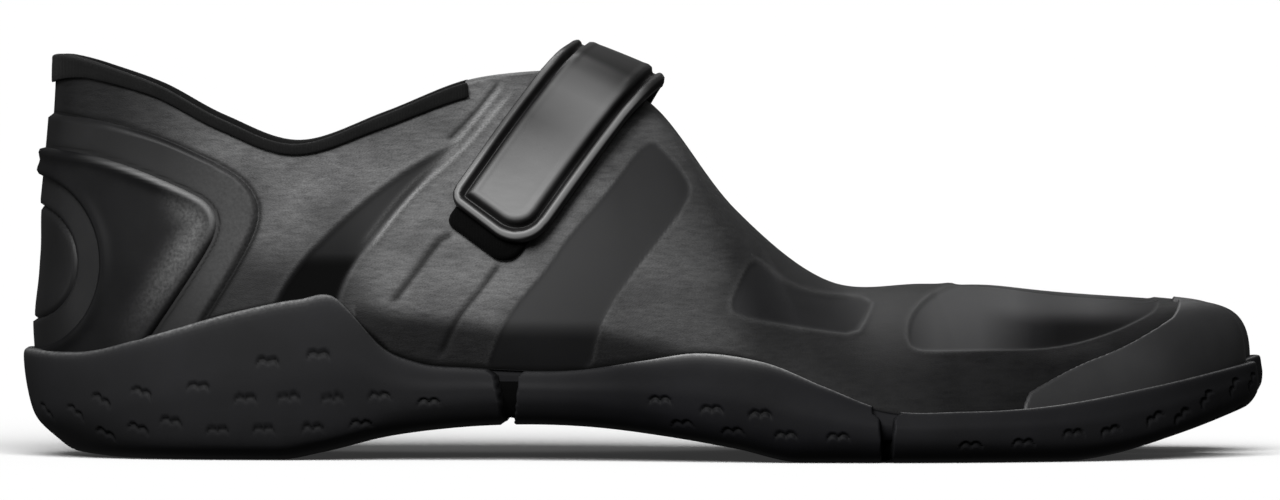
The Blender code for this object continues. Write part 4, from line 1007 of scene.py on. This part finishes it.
def inside_grids():
    """The upper's lining, and the rounded rim at the collar between it and the face."""
    places = spaced(0, LOOP_SPANS, LINING_PER_SPAN)
    u, shares = np.meshgrid(np.mod(places, LOOP_SPANS), np.linspace(LINING_START, 1, LINING_ROWS + 1))
    lining = skin(u, shares, np.full(u.shape, -UPPER_WALL))
    collar = np.mod(spaced(-COLLAR_FRONT, COLLAR_FRONT, LINING_PER_SPAN), LOOP_SPANS)
    top = np.ones(len(collar))
    rim = []
    for turn in np.linspace(0, math.pi, COLLAR_TURNS):
        inwards = top * (-UPPER_WALL * (1 - math.cos(turn)) / 2)
        rim.append(skin(collar, top, inwards) + UP * (COLLAR_RISE * math.sin(turn)))
    return lining, np.array(rim)


def run_on_shading(mesh, normals, ridge, ends):
    """Lets the shading run on across the seams between the upper's parts: along the ridge the normals stay in
    its plane, and at the ends of a part they are the form's own."""
    found = np.zeros(len(mesh.vertices) * 3)
    mesh.vertex_normals.foreach_get("vector", found)
    found = found.reshape(-1, 3)
    face = found[: len(normals)]
    face[ridge] -= (face[ridge] @ ACROSS)[:, None] * ACROSS
    face[ends] = normals[ends]
    face[ridge | ends] = unit(face[ridge | ends])
    mesh.normals_split_custom_set_from_vertices(found.tolist())


def upper_piece(finish):
    """The stretch upper: fine on the outer side, coarser inside the split and on the inner side."""
    samples = spaced(0, LOOP_SPANS, LIP_SAMPLES)
    lip_table = rib_share_at(samples, lip_height(samples))
    grids, marks, normals, ridge, ends = [], [], [], [], []
    for first, last, per_span, rows in (
        (0, TIP, OUTER_PER_SPAN, OUTER_ROWS), (TIP, LOOP_SPANS, INNER_PER_SPAN, INNER_ROWS),
    ):
        places = spaced(first, last, per_span)
        u, grid, normal, here = island(places, rows, np.interp(places, samples, lip_table))
        on_ridge, at_end = np.zeros((2, *u.shape), bool)
        on_ridge[-1] = station_of(u[-1])[0] >= COLLAR_FRONT
        at_end[:, [0, -1]] = True
        grids.append(grid)
        marks.append(here)
        normals.append(normal.reshape(-1, 3))
        ridge.append(on_ridge.ravel())
        ends.append(at_end.ravel())
    lining, rim = inside_grids()
    # The collar's rim gets the knit's painted light; the lining gets none.
    for grid, gets_light in ((lining, 0), (rim, 1)):
        none = np.zeros(grid.shape[:2])
        pale = gets_light * straight(KNIT_PAINTED_LIGHT, grid[..., 0])
        grids.append(grid)
        marks.append({"film": none, "edge": none, "dark": none, "pale": pale, "weave": weave_places(grid)})
    faces, points = [], np.vstack([grid.reshape(-1, 3) for grid in grids])
    count = 0
    for grid in grids:
        quads = grid_faces(*grid.shape[:2], first=count)
        faces.append(quads[:, ::-1] if grid is lining else quads)
        count += grid.size // 3
    marks = {
        label: np.concatenate([part[label].reshape(-1, *part[label].shape[2:]) for part in marks])
        for label in marks[0]
    }
    made = piece("upper_knit", points, np.vstack(faces), finish, "knit", "upper", marks, False)
    run_on_shading(made.data, np.vstack(normals), np.concatenate(ridge), np.concatenate(ends))


def overlay_piece(row, within, finish, relief=None, tones=None):
    """A moulded overlay on the upper. within: distance inside its outline, by side-view place. relief: more
    height, by that distance. tones: its marks, by place. Its sunk border runs out of sight in the wall."""
    places = spaced(row.first, row.last, row.per_span)
    u, shares = np.meshgrid(np.mod(places, LOOP_SPANS), np.linspace(row.low, row.high, row.rows + 1))
    base, normal = rib_points(u, shares), rib_normals(u, shares)
    side = base[..., [0, 2]]
    inside = within(side)
    height = row.sunk + (row.face - row.sunk) * smooth_step(inside / row.soft + row.start)
    if relief:
        height = height + relief(inside)
    sheets = np.stack([base + normal * height[..., None], base + normal * row.back])
    faces = grid_faces(*u.shape)
    faces = faces[(inside.ravel()[faces] + row.border > 0).any(axis=1)]
    marks = front_only({label: tone(side) for label, tone in (tones or {}).items()}, u.size)
    points, faces, marks = trimmed(sheets.reshape(-1, 3), sheet_faces(faces, u.size), marks)
    piece(row.name, points, faces, finish, "film", row.node, marks)


def painted_band(side, edge, band):
    """A band of painted highlight just inside a layer's edge."""
    x, z = side[..., 0], side[..., 1]
    x = x + band.lean * np.maximum(LEAN_TOP - z, 0)
    here = between(x, band.x_from, band.x_to) * between(z, band.z_from, band.z_to)
    return band.most * here * bell(inside_distance(side, edge) - band.inside, band.width)


def counter_pieces(film, gloss):
    """The heel counter's two layers and the oval dish between them."""
    base_edge, top_edge = cut_corners(COUNTER_BASE_EDGE), cut_corners(COUNTER_TOP_EDGE)

    def base_within(side):
        return np.minimum(inside_distance(side, base_edge), -oval_distance(side, COUNTER_BASE_OVAL))

    def top_within(side):
        return np.minimum(inside_distance(side, top_edge), -oval_distance(side, COUNTER_TOP_OVAL))

    def bead(inside):
        tall, place, width, lowering = BEAD
        return tall * bell(inside - place, width) - lowering

    def hollow(inside):
        depth, over = DISH
        return -depth * smooth_step(inside / over)

    # Painted light on the lower layer's front and painted shadow under the upper layer's edge; painted
    # highlight along the upper layer's top edge and painted sheen inside its front edge.
    overlay_piece(LOWER_LAYER, base_within, film, tones={
        "edge": lambda side: LOWER_LAYER_LIGHT * between(side[..., 0], *LOWER_LAYER_LIGHT_X),
        "dark": lambda side: edge_shadow(side, top_edge),
    })
    overlay_piece(UPPER_LAYER, top_within, gloss, bead, {
        "pale": lambda side: painted_band(side, top_edge, LAYER_TOP_HIGHLIGHT),
        "edge": lambda side: painted_band(side, top_edge, LAYER_SHEEN),
    })
    overlay_piece(HEEL_DISH, lambda side: oval_distance(side, COUNTER_BASE_OVAL), film, hollow)


def toe_guards(finish):
    edge = cut_corners(TOE_CAP_EDGE)
    for guard in (SMALL_GUARD, BIG_GUARD):
        overlay_piece(guard, lambda side: inside_distance(side, edge), finish)


def sole_rings(places):
    """Control rings of the cup sole: inside the wall, over the lip and down round the lower edge."""
    ground = np.zeros(len(places))
    under = along(UNDERSIDE, rib_points(places, ground)[:, 0])
    lip = lip_height(places)
    lip_share = rib_share_at(places, lip)
    base_wall, lip_wall, edge_in, edge_up = (rim_column(column, places) for column in Rim._fields[1:])
    edge_up = np.minimum(edge_up, EDGE_MOST * (lip - under))
    inside = CUP_GAP - tuck(rib_points(places, lip_share))
    rings = [skin(places, lip_share * part, inside) for part in INSIDE_RINGS]
    near, far = LIP_RINGS
    rings.append(skin(places, lip_share, inside + near * (lip_wall + CUP_GAP - inside)))
    rings.append(skin(places, lip_share, CUP_GAP + far * lip_wall))
    for part in OUTSIDE_RINGS:
        wall = lip_wall + (base_wall - lip_wall) * (1 - part)
        rings.append(skin(places, lip_share * part, CUP_GAP + wall))
    widest = skin(places, ground, CUP_GAP + base_wall)
    for turn in np.radians(EDGE_ANGLES):
        ring = widest.copy()
        ring[:, :2] -= plan_normal(places) * (edge_in * (1 - math.cos(turn)))[:, None]
        ring[:, 2] = under + edge_up * (1 - math.sin(turn)) * EDGE_SQUASH
        rings.append(ring)
    return np.array(rings)


def scoop_depth(a, b):
    """Depth of a tread scoop at a (along it) and b (up it): deepest under its two round humps."""
    length, tall, depth = SCOOP_SIZE
    away = np.abs(a) / length
    reach = (away - SCOOP_HUMP) / (SCOOP_HALF - SCOOP_HUMP)
    below = tall * (np.sqrt(np.clip(1 - reach**2, 0, 1)) - 0.5) - b
    run_out = np.clip(1 - below / SCOOP_CHANNEL, 0, 1) * smooth_step((SCOOP_HALF - away) / SCOOP_END)
    return depth * smooth_step(below / SCOOP_EDGE) * run_out


def cut_scoops(grid, out, places, first_row):
    """Depth of all the tread scoops on a lattice of points and normals."""
    _, inner, split = station_of(places)
    depth = np.zeros(grid.shape[:2])
    for x, z in (spot for row in SCOOP_ROWS for spot in row):
        for side in (-1, 1):
            away = (grid[..., 0] - x) ** 2 + (grid[..., 2] - z) ** 2
            away[:, (inner != (side > 0)) | split] = np.inf
            away[:first_row] = np.inf
            middle = np.unravel_index(np.argmin(away), away.shape)
            place, normal = grid[middle], out[middle]
            ahead = unit(np.cross(UP, normal))
            tilt = math.radians(float(straight(SCOOP_TILT, x))) * side
            near = np.linalg.norm(grid - place, axis=-1) < SCOOP_SIZE[0]
            near[:first_row] = False
            flat = grid[near] - place
            a, b = flat @ ahead, flat @ np.cross(normal, ahead)
            here = scoop_depth(
                a * math.cos(tilt) + b * math.sin(tilt), b * math.cos(tilt) - a * math.sin(tilt)
            )
            depth[near] = np.maximum(depth[near], here)
    return depth


def cut_groove(groove, grid):
    """Where a flex groove runs through the sole's wall (0 to 1), flared where it runs out over the lip."""
    x, z = grid[..., 0], grid[..., 2]
    under = float(along(UNDERSIDE, np.array([groove.under_x]))[0])
    lip = float(along(LIP, np.array([groove.lip_x]))[0])
    share = np.clip((z - under) / (lip - under), 0, 1)
    middle = groove.under_x + (groove.lip_x - groove.under_x) * share
    half = (groove.under_width + (groove.lip_width - groove.under_width) * share) / 2
    half = half + GROOVE_FLARE * np.clip(1 - (lip - z) / GROOVE_FLARE, 0, 1) ** 2
    above_floor = smooth_step((z - groove.floor) / GROOVE_FLOOR_SOFT)
    return smooth_step((half - np.abs(x - middle)) / GROOVE_SOFT + 0.5) * above_floor


def cut_grooves(grid, places, spread):
    """Over the sole's lattice: where a flex groove runs, and how high its notch below reaches."""
    outside = ~station_of(places)[2]
    grooves, notches = np.zeros((2, *grid.shape[:2]))
    for groove in GROOVES:
        cut = cut_groove(groove, grid) * (spread[:, None] > LIP_RING + GROOVE_FROM) * outside
        grooves = np.maximum(grooves, cut)
        away = np.abs(grid[..., 0] - groove.under_x)
        notches += groove.notch * np.clip(1 - away / GROOVE_NOTCH, 0, 1) * outside
    return grooves, notches


def sole_faces(cut, n):
    """Coarse faces of the sole's lattice, and fine ones where a coarse face is cut or next to a cut one."""
    step = SOLE_FINE
    wide = n * step

    def with_sides(cells):
        return cells | np.roll(cells, 1, 1) | np.roll(cells, -1, 1)

    def quads(rows, columns, size):
        low, ahead = columns, (columns + size) % wide
        here, below = rows * wide, (rows + size) * wide
        return np.stack([here + low, below + low, below + ahead, here + ahead], axis=-1)

    cut = np.pad(cut, ((1, 1), (0, 0)))
    cut = with_sides(cut[2:] | cut[1:-1] | cut[:-2])
    cells = cut[:-1].reshape(SOLE_ROWS, step, n, step).any(axis=(1, 3))
    cells[1:-1] |= cells[2:] | cells[:-2]
    cells = with_sides(cells)
    rows, columns = np.nonzero(~cells)
    faces = [quads(rows * step, columns * step, step)]
    rows, columns = np.nonzero(cells)
    for i in range(step):
        for j in range(step):
            faces.append(quads(rows * step + i, columns * step + j, 1))
    return np.vstack(faces).tolist()


def sole_piece(finish):
    """The cup sole with its rounded lip, flex grooves and tread scoops."""
    n, step = LOOP_SPANS * SOLE_PER_SPAN, SOLE_FINE
    places = np.arange(n * step) / (SOLE_PER_SPAN * step)
    rings = sole_rings(places)
    spread = np.linspace(0, len(rings) - 1, SOLE_ROWS * step + 1)
    grid = open_spline(rings, spread)
    grid[..., 2] = np.maximum(grid[..., 2], 0.0)
    span = np.roll(grid, -1, axis=1) - np.roll(grid, 1, axis=1)
    out = unit(np.cross(span, -np.gradient(grid, axis=0)))
    scoops = cut_scoops(grid, out, places, int(np.searchsorted(spread, LIP_RING + SCOOP_FROM)))
    grooves, notches = cut_grooves(grid, places, spread)
    inward = np.concatenate([-plan_normal(places), np.zeros((len(places), 1))], axis=1)
    wall = rim_column("base_wall", places) + CUP_GAP + GROOVE_PAST
    grid = grid - out * (scoops * (1 - grooves))[..., None] + inward * (grooves * wall)[..., None]
    x = grid[..., 0]
    raised = np.maximum(grid[..., 2], along(UNDERSIDE, x) + notches)
    grid[..., 2] = np.where(notches > 0, raised, grid[..., 2])
    # Painted highlight along the lip's edge, painted light on the sole's side and a broader painted shine on
    # the lip.
    worn, shine = (
        bell(spread - LIP_RING - past, width)[:, None] for past, width in (LIP_HIGHLIGHT_LINE, LIP_SHINE_LINE)
    )
    marks = front_only({
        "edge": worn * straight(LIP_HIGHLIGHT, x),
        "pale": straight(SOLE_SIDE_LIGHT, x) + shine * straight(LIP_SHINE, x),
        # Painted shade: black in the flex grooves, darker in the tread scoops.
        "dark": np.maximum(grooves, SCOOP_SHADE * scoops / SCOOP_SIZE[2]),
    }, n)
    faces = sole_faces(np.maximum(scoops, grooves) > CUT_LEAST, n)
    # The bed inside and the tread underneath close it.
    bed = rings[0][::step].copy()
    bed[:, 2] = bed_height(bed[:, 0])
    count, last = scoops.size, SOLE_ROWS * step * n * step
    across = rungs(SOLE_PER_SPAN)
    faces += [[count + i for i in face] for face in across]
    faces += [[count + i, i * step, ((i + 1) % n) * step, count + (i + 1) % n] for i in range(n)]
    faces += [[last + i * step for i in face[::-1]] for face in across]
    points, faces, marks = trimmed(np.vstack([grid.reshape(-1, 3), bed]), faces, marks)
    piece("cup_sole", points, faces, finish, "rubber", "outsole", marks, False)


def insole_piece(finish):
    """The foam insole with a rounded upper edge."""
    n = LOOP_SPANS * INSOLE_PER_SPAN
    places = np.arange(n) / INSOLE_PER_SPAN
    rings = []
    for inset, rise in INSOLE_EDGE:
        ring = skin(places, np.zeros(n), np.full(n, -(UPPER_WALL + GAP + INSOLE_SPACE + inset)))
        ring[:, 2] = bed_height(ring[:, 0]) + GAP + rise
        rings.append(ring)
    across = rungs(INSOLE_PER_SPAN)
    faces = ring_faces(len(rings), n)
    faces += [face[::-1] for face in across]
    faces += [[(len(rings) - 1) * n + i for i in face] for face in across]
    made = piece("foam_insole", np.vstack(rings), faces, finish, "foam", "insole")


def binding_piece(finish):
    """Folded tape over the collar edge, with rounded folds and closed front ends."""
    half = BINDING_END_STATION * BINDING_PER_SPAN
    places = np.arange(-half, half + 1) / BINDING_PER_SPAN
    wrapped = np.mod(places, LOOP_SPANS)
    n = len(places)
    top = rib_points(wrapped, np.ones(n))
    low = rib_share_at(wrapped, top[:, 2] - straight(BINDING_HEIGHT, np.abs(places)))
    up = unit(top - rib_points(wrapped, np.full(n, BINDING_UP)))
    fold = []
    for turn in np.linspace(0, math.pi, FOLD_RAILS):
        out = FOLD_MIDDLE + FOLD_HALF * math.cos(turn)
        fold.append(Rail(1.0, out, FOLD_RISE * math.sin(turn) ** FOLD_POWER))
    rails = []
    for rail in BINDING_FACE + fold + BINDING_BACK:
        share = low + (1 - low) * rail.climb
        rails.append(skin(wrapped, share, np.full(n, rail.out)) + up * rail.lift)
    count = len(rails)
    faces = []
    for here in range(0, count * n, n):
        after = (here + n) % (count * n)
        faces += [[here + i, here + i + 1, after + i + 1, after + i] for i in range(n - 1)]
    faces += [list(range(0, count * n, n)), list(range(n - 1, count * n, n))[::-1]]
    piece("collar_tape", np.vstack(rails), faces, finish, "tape", "collar_binding")


def strap_wrap():
    """The band's path on the upper, as functions of s (across it) and of the length along it."""
    places = np.arange(LOOP_SPANS * WRAP_SAMPLES) / WRAP_SAMPLES
    u, v = np.meshgrid(places, WRAP_RIB)
    faces = ring_faces(len(WRAP_RIB), len(places))
    surface = BVHTree.FromPolygons(rib_points(u, v).reshape(-1, 3).tolist(), faces)
    lean = np.array([math.cos(STRAP_TILT), 0, math.sin(STRAP_TILT)])
    wide = np.array([math.sin(STRAP_TILT), 0, -math.cos(STRAP_TILT)])
    across = np.linspace(-WRAP_HALF_WIDTH, WRAP_HALF_WIDTH, WRAP_LINES) * STRAP.width
    angles = WRAP_ANGLES
    radii = np.full((len(across), len(angles)), np.nan)
    for i, s in enumerate(across):
        middle = STRAP_CREST + wide * s - lean * STRAP_DEPTH
        for j, angle in enumerate(angles):
            heading = lean * math.cos(angle) + ACROSS * math.sin(angle)
            place, _, _, length = surface.ray_cast(Vector(middle), Vector(heading))
            radii[i, j] = length if place else np.nan
    mean, slope = np.zeros((2, len(angles)))
    for j in range(len(angles)):
        known = ~np.isnan(radii[:, j])
        slope[j], mean[j] = np.polyfit(across[known], radii[known, j], 1)
        mean[j] += max(0.0, np.max(radii[known, j] - mean[j] - slope[j] * across[known]))
    mean, slope = (np.convolve(np.pad(c, 2, "edge"), WRAP_SOFTENING, "valid") for c in (mean, slope))
    middle_y = STRAP_CREST[1] + mean * np.sin(angles)
    steps = np.hypot(np.diff(mean * np.cos(angles)), np.diff(middle_y))
    length = np.concatenate([[0], np.cumsum(steps)])
    length -= np.interp(0, angles, length)

    def at(s, place):
        angle = np.interp(place, length, angles)
        s = s + along(STRAP_DRIFT, place)
        radius = open_spline(mean[:, None], np.interp(angle, angles, np.arange(len(angles))))[..., 0]
        radius = radius + np.interp(angle, angles, slope) * s
        middle = STRAP_CREST + wide * s[..., None] - lean * STRAP_DEPTH
        heading = lean * np.cos(angle)[..., None] + ACROSS * np.sin(angle)[..., None]
        return middle + heading * radius[..., None]

    def normal(s, place):
        step = WRAP_NORMAL_STEP
        run = at(s, place + step) - at(s, place - step)
        side = at(s + step, place) - at(s - step, place)
        return unit(np.cross(side, run))

    def free_end(s, drop):
        steps = np.linspace(length[0], 0, WRAP_END_STEPS)
        fall = (STRAP_CREST - at(np.full(WRAP_END_STEPS, s), steps)) @ lean
        return np.interp(-drop, -fall, steps)

    return at, normal, free_end


def strap_height(place, within):
    """Height of the strap over its underside; its groove runs out towards its crest."""
    height = along(STRAP_SECTION, within)
    crest = between(np.abs(place), *CREST_FILL_REACH) * (within > STRAP_RIM_TO[1])
    return height + crest * np.maximum(CREST_FILL - height, 0)


def strap_marks(s, place, within):
    """Marks of the strap: painted highlights on its rim, most on its toe side, and on its panel at its bends;
    painted shade on its crest.
    """
    rim = between(within, *STRAP_RIM_FROM) * between(within, *STRAP_RIM_TO)
    panel = between(within, *STRAP_PANEL)
    toe_side = smooth_step(0.5 + s / STRAP.width)
    pale = 0
    for zone, front, back in (
        (rim, STRAP_RIM_FRONT, STRAP_RIM_BACK), (panel, STRAP_PANEL_FRONT, STRAP_PANEL_BACK),
    ):
        pale += zone * (straight(back, place) * (1 - toe_side) + straight(front, place) * toe_side)
    return {"pale": pale, "dark": straight(STRAP_CREST_DARK, place)}


def strip_piece(strip, wrap, lift, section, finish, marks_of=None):
    """A strip on the strap's path with a rounded free end. lift: how far it stands off, by place along it.
    section: its height, by place along it and by distance from its edge."""
    at, normal, free_end = wrap
    half, last = strip.width / 2, strip.last
    columns = int(strip.width / strip.step) + 1
    crowd = np.sin(np.linspace(-0.5, 0.5, columns) * math.pi)
    s_values = half * ((1 - STRIP_CROWDING) * np.linspace(-1, 1, columns) + STRIP_CROWDING * crowd)
    first = []
    for value in s_values:
        corner = strip.corners[0] if value < 0 else strip.corners[1]
        cut = max(abs(value) - (half - corner), 0)
        first.append(free_end(value, strip.drop - corner + math.sqrt(max(corner**2 - cut**2, 0))))
    first = np.array(first)
    rows = int((last - first.min()) / strip.step) + 1
    place = first + np.linspace(0, 1, rows)[:, None] * (last - first)
    s = np.broadcast_to(s_values, place.shape)
    outline = np.vstack([np.column_stack([s_values, first]), [(half, last)], [(-half, last)]])
    within, _ = line_distance(np.stack([s, place], axis=-1), np.vstack([outline, outline[:1]]))
    base, out = at(s, place), normal(s, place)
    under = base + out * lift(place)[..., None]
    over = base + out * (lift(place) + section(place, within))[..., None]
    faces = sheet_faces(grid_faces(rows, columns), place.size)
    marks = front_only(marks_of(s, place, within) if marks_of else {}, place.size)
    points = np.stack([over, under]).reshape(-1, 3)
    piece(strip.name, points, faces, finish, strip.slot, strip.node, marks)


def strap_pieces(moulded, tape):
    """The moulded strap and the hook tape under its free end."""
    wrap = strap_wrap()
    strip_piece(STRAP, wrap, lambda place: along(STRAP_STANDOFF, place), strap_height, moulded, strap_marks)
    strip_piece(
        HOOK_TAPE, wrap, lambda place: np.full(place.shape, HOOK_TAPE_LIFT),
        lambda place, within: along(HOOK_TAPE_SECTION, within), tape,
    )


# Studio. The floor has a front light of its own, and the other lamps pass it by.
CAMERA_DISTANCE = 4000.0
CAMERA_ELEVATION = math.radians(1.4)
CAMERA_CLIP = 400.0  # metres
FRAME_WIDTH = 1280 * 0.2289  # pixels across the picture, millimetres each
FRAME_CENTRE = np.array([-1.2, 0.0, 47.15])
SENSOR = 36.0
FLOOR_REACH = 150.0  # metres
FLOOR_GLOW = 0.03  # a table lit faintly from below
WORLD_POWER = 0.08
Sun = namedtuple("Sun", "name power degrees source receivers state")
SUNS = [
    Sun("ceiling", 2.6, 90, (-0.1, -0.35, 1.0), "all_but_floor", "EXCLUDE"),
    Sun("floor_front", 4.6, 50, (0.0, -0.75, 0.66), "floor_only", "INCLUDE"),
]
Lamp = namedtuple("Lamp", "name power size place target glossy")  # watts and metres
LAMPS = [
    Lamp("key", 10.0, (0.3, 0.3), (-0.24, -0.62, 0.5), (-0.05, 0, 0.05), True),
    Lamp("back", 4.0, (0.7, 0.3), (-0.05, 0.8, 0.85), (0.05, 0, 0.04), True),
    Lamp("heel_side", 2.5, (0.4, 0.6), (-1.2, -0.25, 0.2), (-0.1, 0, 0.03), True),
    Lamp("far_fill", 7.0, (0.8, 0.4), (0.0, 0.95, 0.25), (0, 0, 0.04), False),
]


def placed(name, data):
    made = bpy.data.objects.new(name, data)
    bpy.context.scene.collection.objects.link(made)
    return made


def camera():
    data = bpy.data.cameras.new("camera")
    data.sensor_width = SENSOR
    data.lens = SENSOR * CAMERA_DISTANCE / FRAME_WIDTH
    data.clip_end = CAMERA_CLIP
    made = placed("camera", data)
    back = np.array([0, -math.cos(CAMERA_ELEVATION), math.sin(CAMERA_ELEVATION)])
    made.location = (FRAME_CENTRE + back * CAMERA_DISTANCE) * MM
    made.rotation_euler = (math.pi / 2 - CAMERA_ELEVATION, 0, 0)
    bpy.context.scene.camera = made


def floor():
    mesh = bpy.data.meshes.new("floor")
    corners = [(x * FLOOR_REACH, y * FLOOR_REACH, 0) for x, y in ((-1, -1), (1, -1), (1, 1), (-1, 1))]
    mesh.from_pydata(corners, [], [[0, 1, 2, 3]])
    finish, _, _ = new_material(
        "pale_floor", (0.93, 0.93, 0.93), 0.9, Specular_IOR_Level=0.0,
        Emission_Color=(1, 1, 1, 1), Emission_Strength=FLOOR_GLOW,
    )
    mesh.materials.append(finish)
    made = placed("floor", mesh)
    made.visible_diffuse = False
    made.visible_glossy = False
    made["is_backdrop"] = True
    return made


def linked(name, ground, state):
    """A collection that gives a light to the floor alone (INCLUDE) or to all but the floor (EXCLUDE)."""
    made = bpy.data.collections.new(name)
    made.objects.link(ground)
    made.collection_objects[0].light_linking.link_state = state
    return made


def facing(direction):
    return direction.to_track_quat("-Z", "Y").to_euler()


def lights(ground):
    receivers = {row.receivers: linked(row.receivers, ground, row.state) for row in SUNS}
    for row in SUNS:
        data = bpy.data.lights.new(row.name, "SUN")
        data.energy = row.power
        data.angle = math.radians(row.degrees)
        made = placed(row.name, data)
        made.rotation_euler = facing(-Vector(row.source))
        made.visible_glossy = False
        made.light_linking.receiver_collection = receivers[row.receivers]
    for row in LAMPS:
        data = bpy.data.lights.new(row.name, "AREA")
        data.shape = "RECTANGLE"
        data.size, data.size_y = row.size
        data.energy = row.power
        made = placed(row.name, data)
        made.location = row.place
        made.rotation_euler = facing(Vector(row.target) - Vector(row.place))
        made.visible_glossy = row.glossy
        made.light_linking.receiver_collection = receivers["all_but_floor"]


def world():
    made = bpy.data.worlds.new("studio")
    made.use_nodes = True
    background = made.node_tree.nodes["Background"]
    background.inputs["Color"].default_value = (1, 1, 1, 1)
    background.inputs["Strength"].default_value = WORLD_POWER
    bpy.context.scene.world = made
    bpy.context.scene.view_settings.view_transform = "Standard"


def main():
    camera()
    lights(floor())
    world()
    knit = knit_material()
    film, guard, gloss, sole, moulded = (rubber_material(row) for row in RUBBERS)
    tape, hooks, foam = (tape_material(row) for row in TAPES)
    upper_piece(knit)
    counter_pieces(film, gloss)
    toe_guards(guard)
    sole_piece(sole)
    insole_piece(foam)
    binding_piece(tape)
    strap_pieces(moulded, hooks)


main()

boxes = {"cad": cad_box, "visual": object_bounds()}
{name: [list(corner) for corner in box] for name, box in boxes.items()}
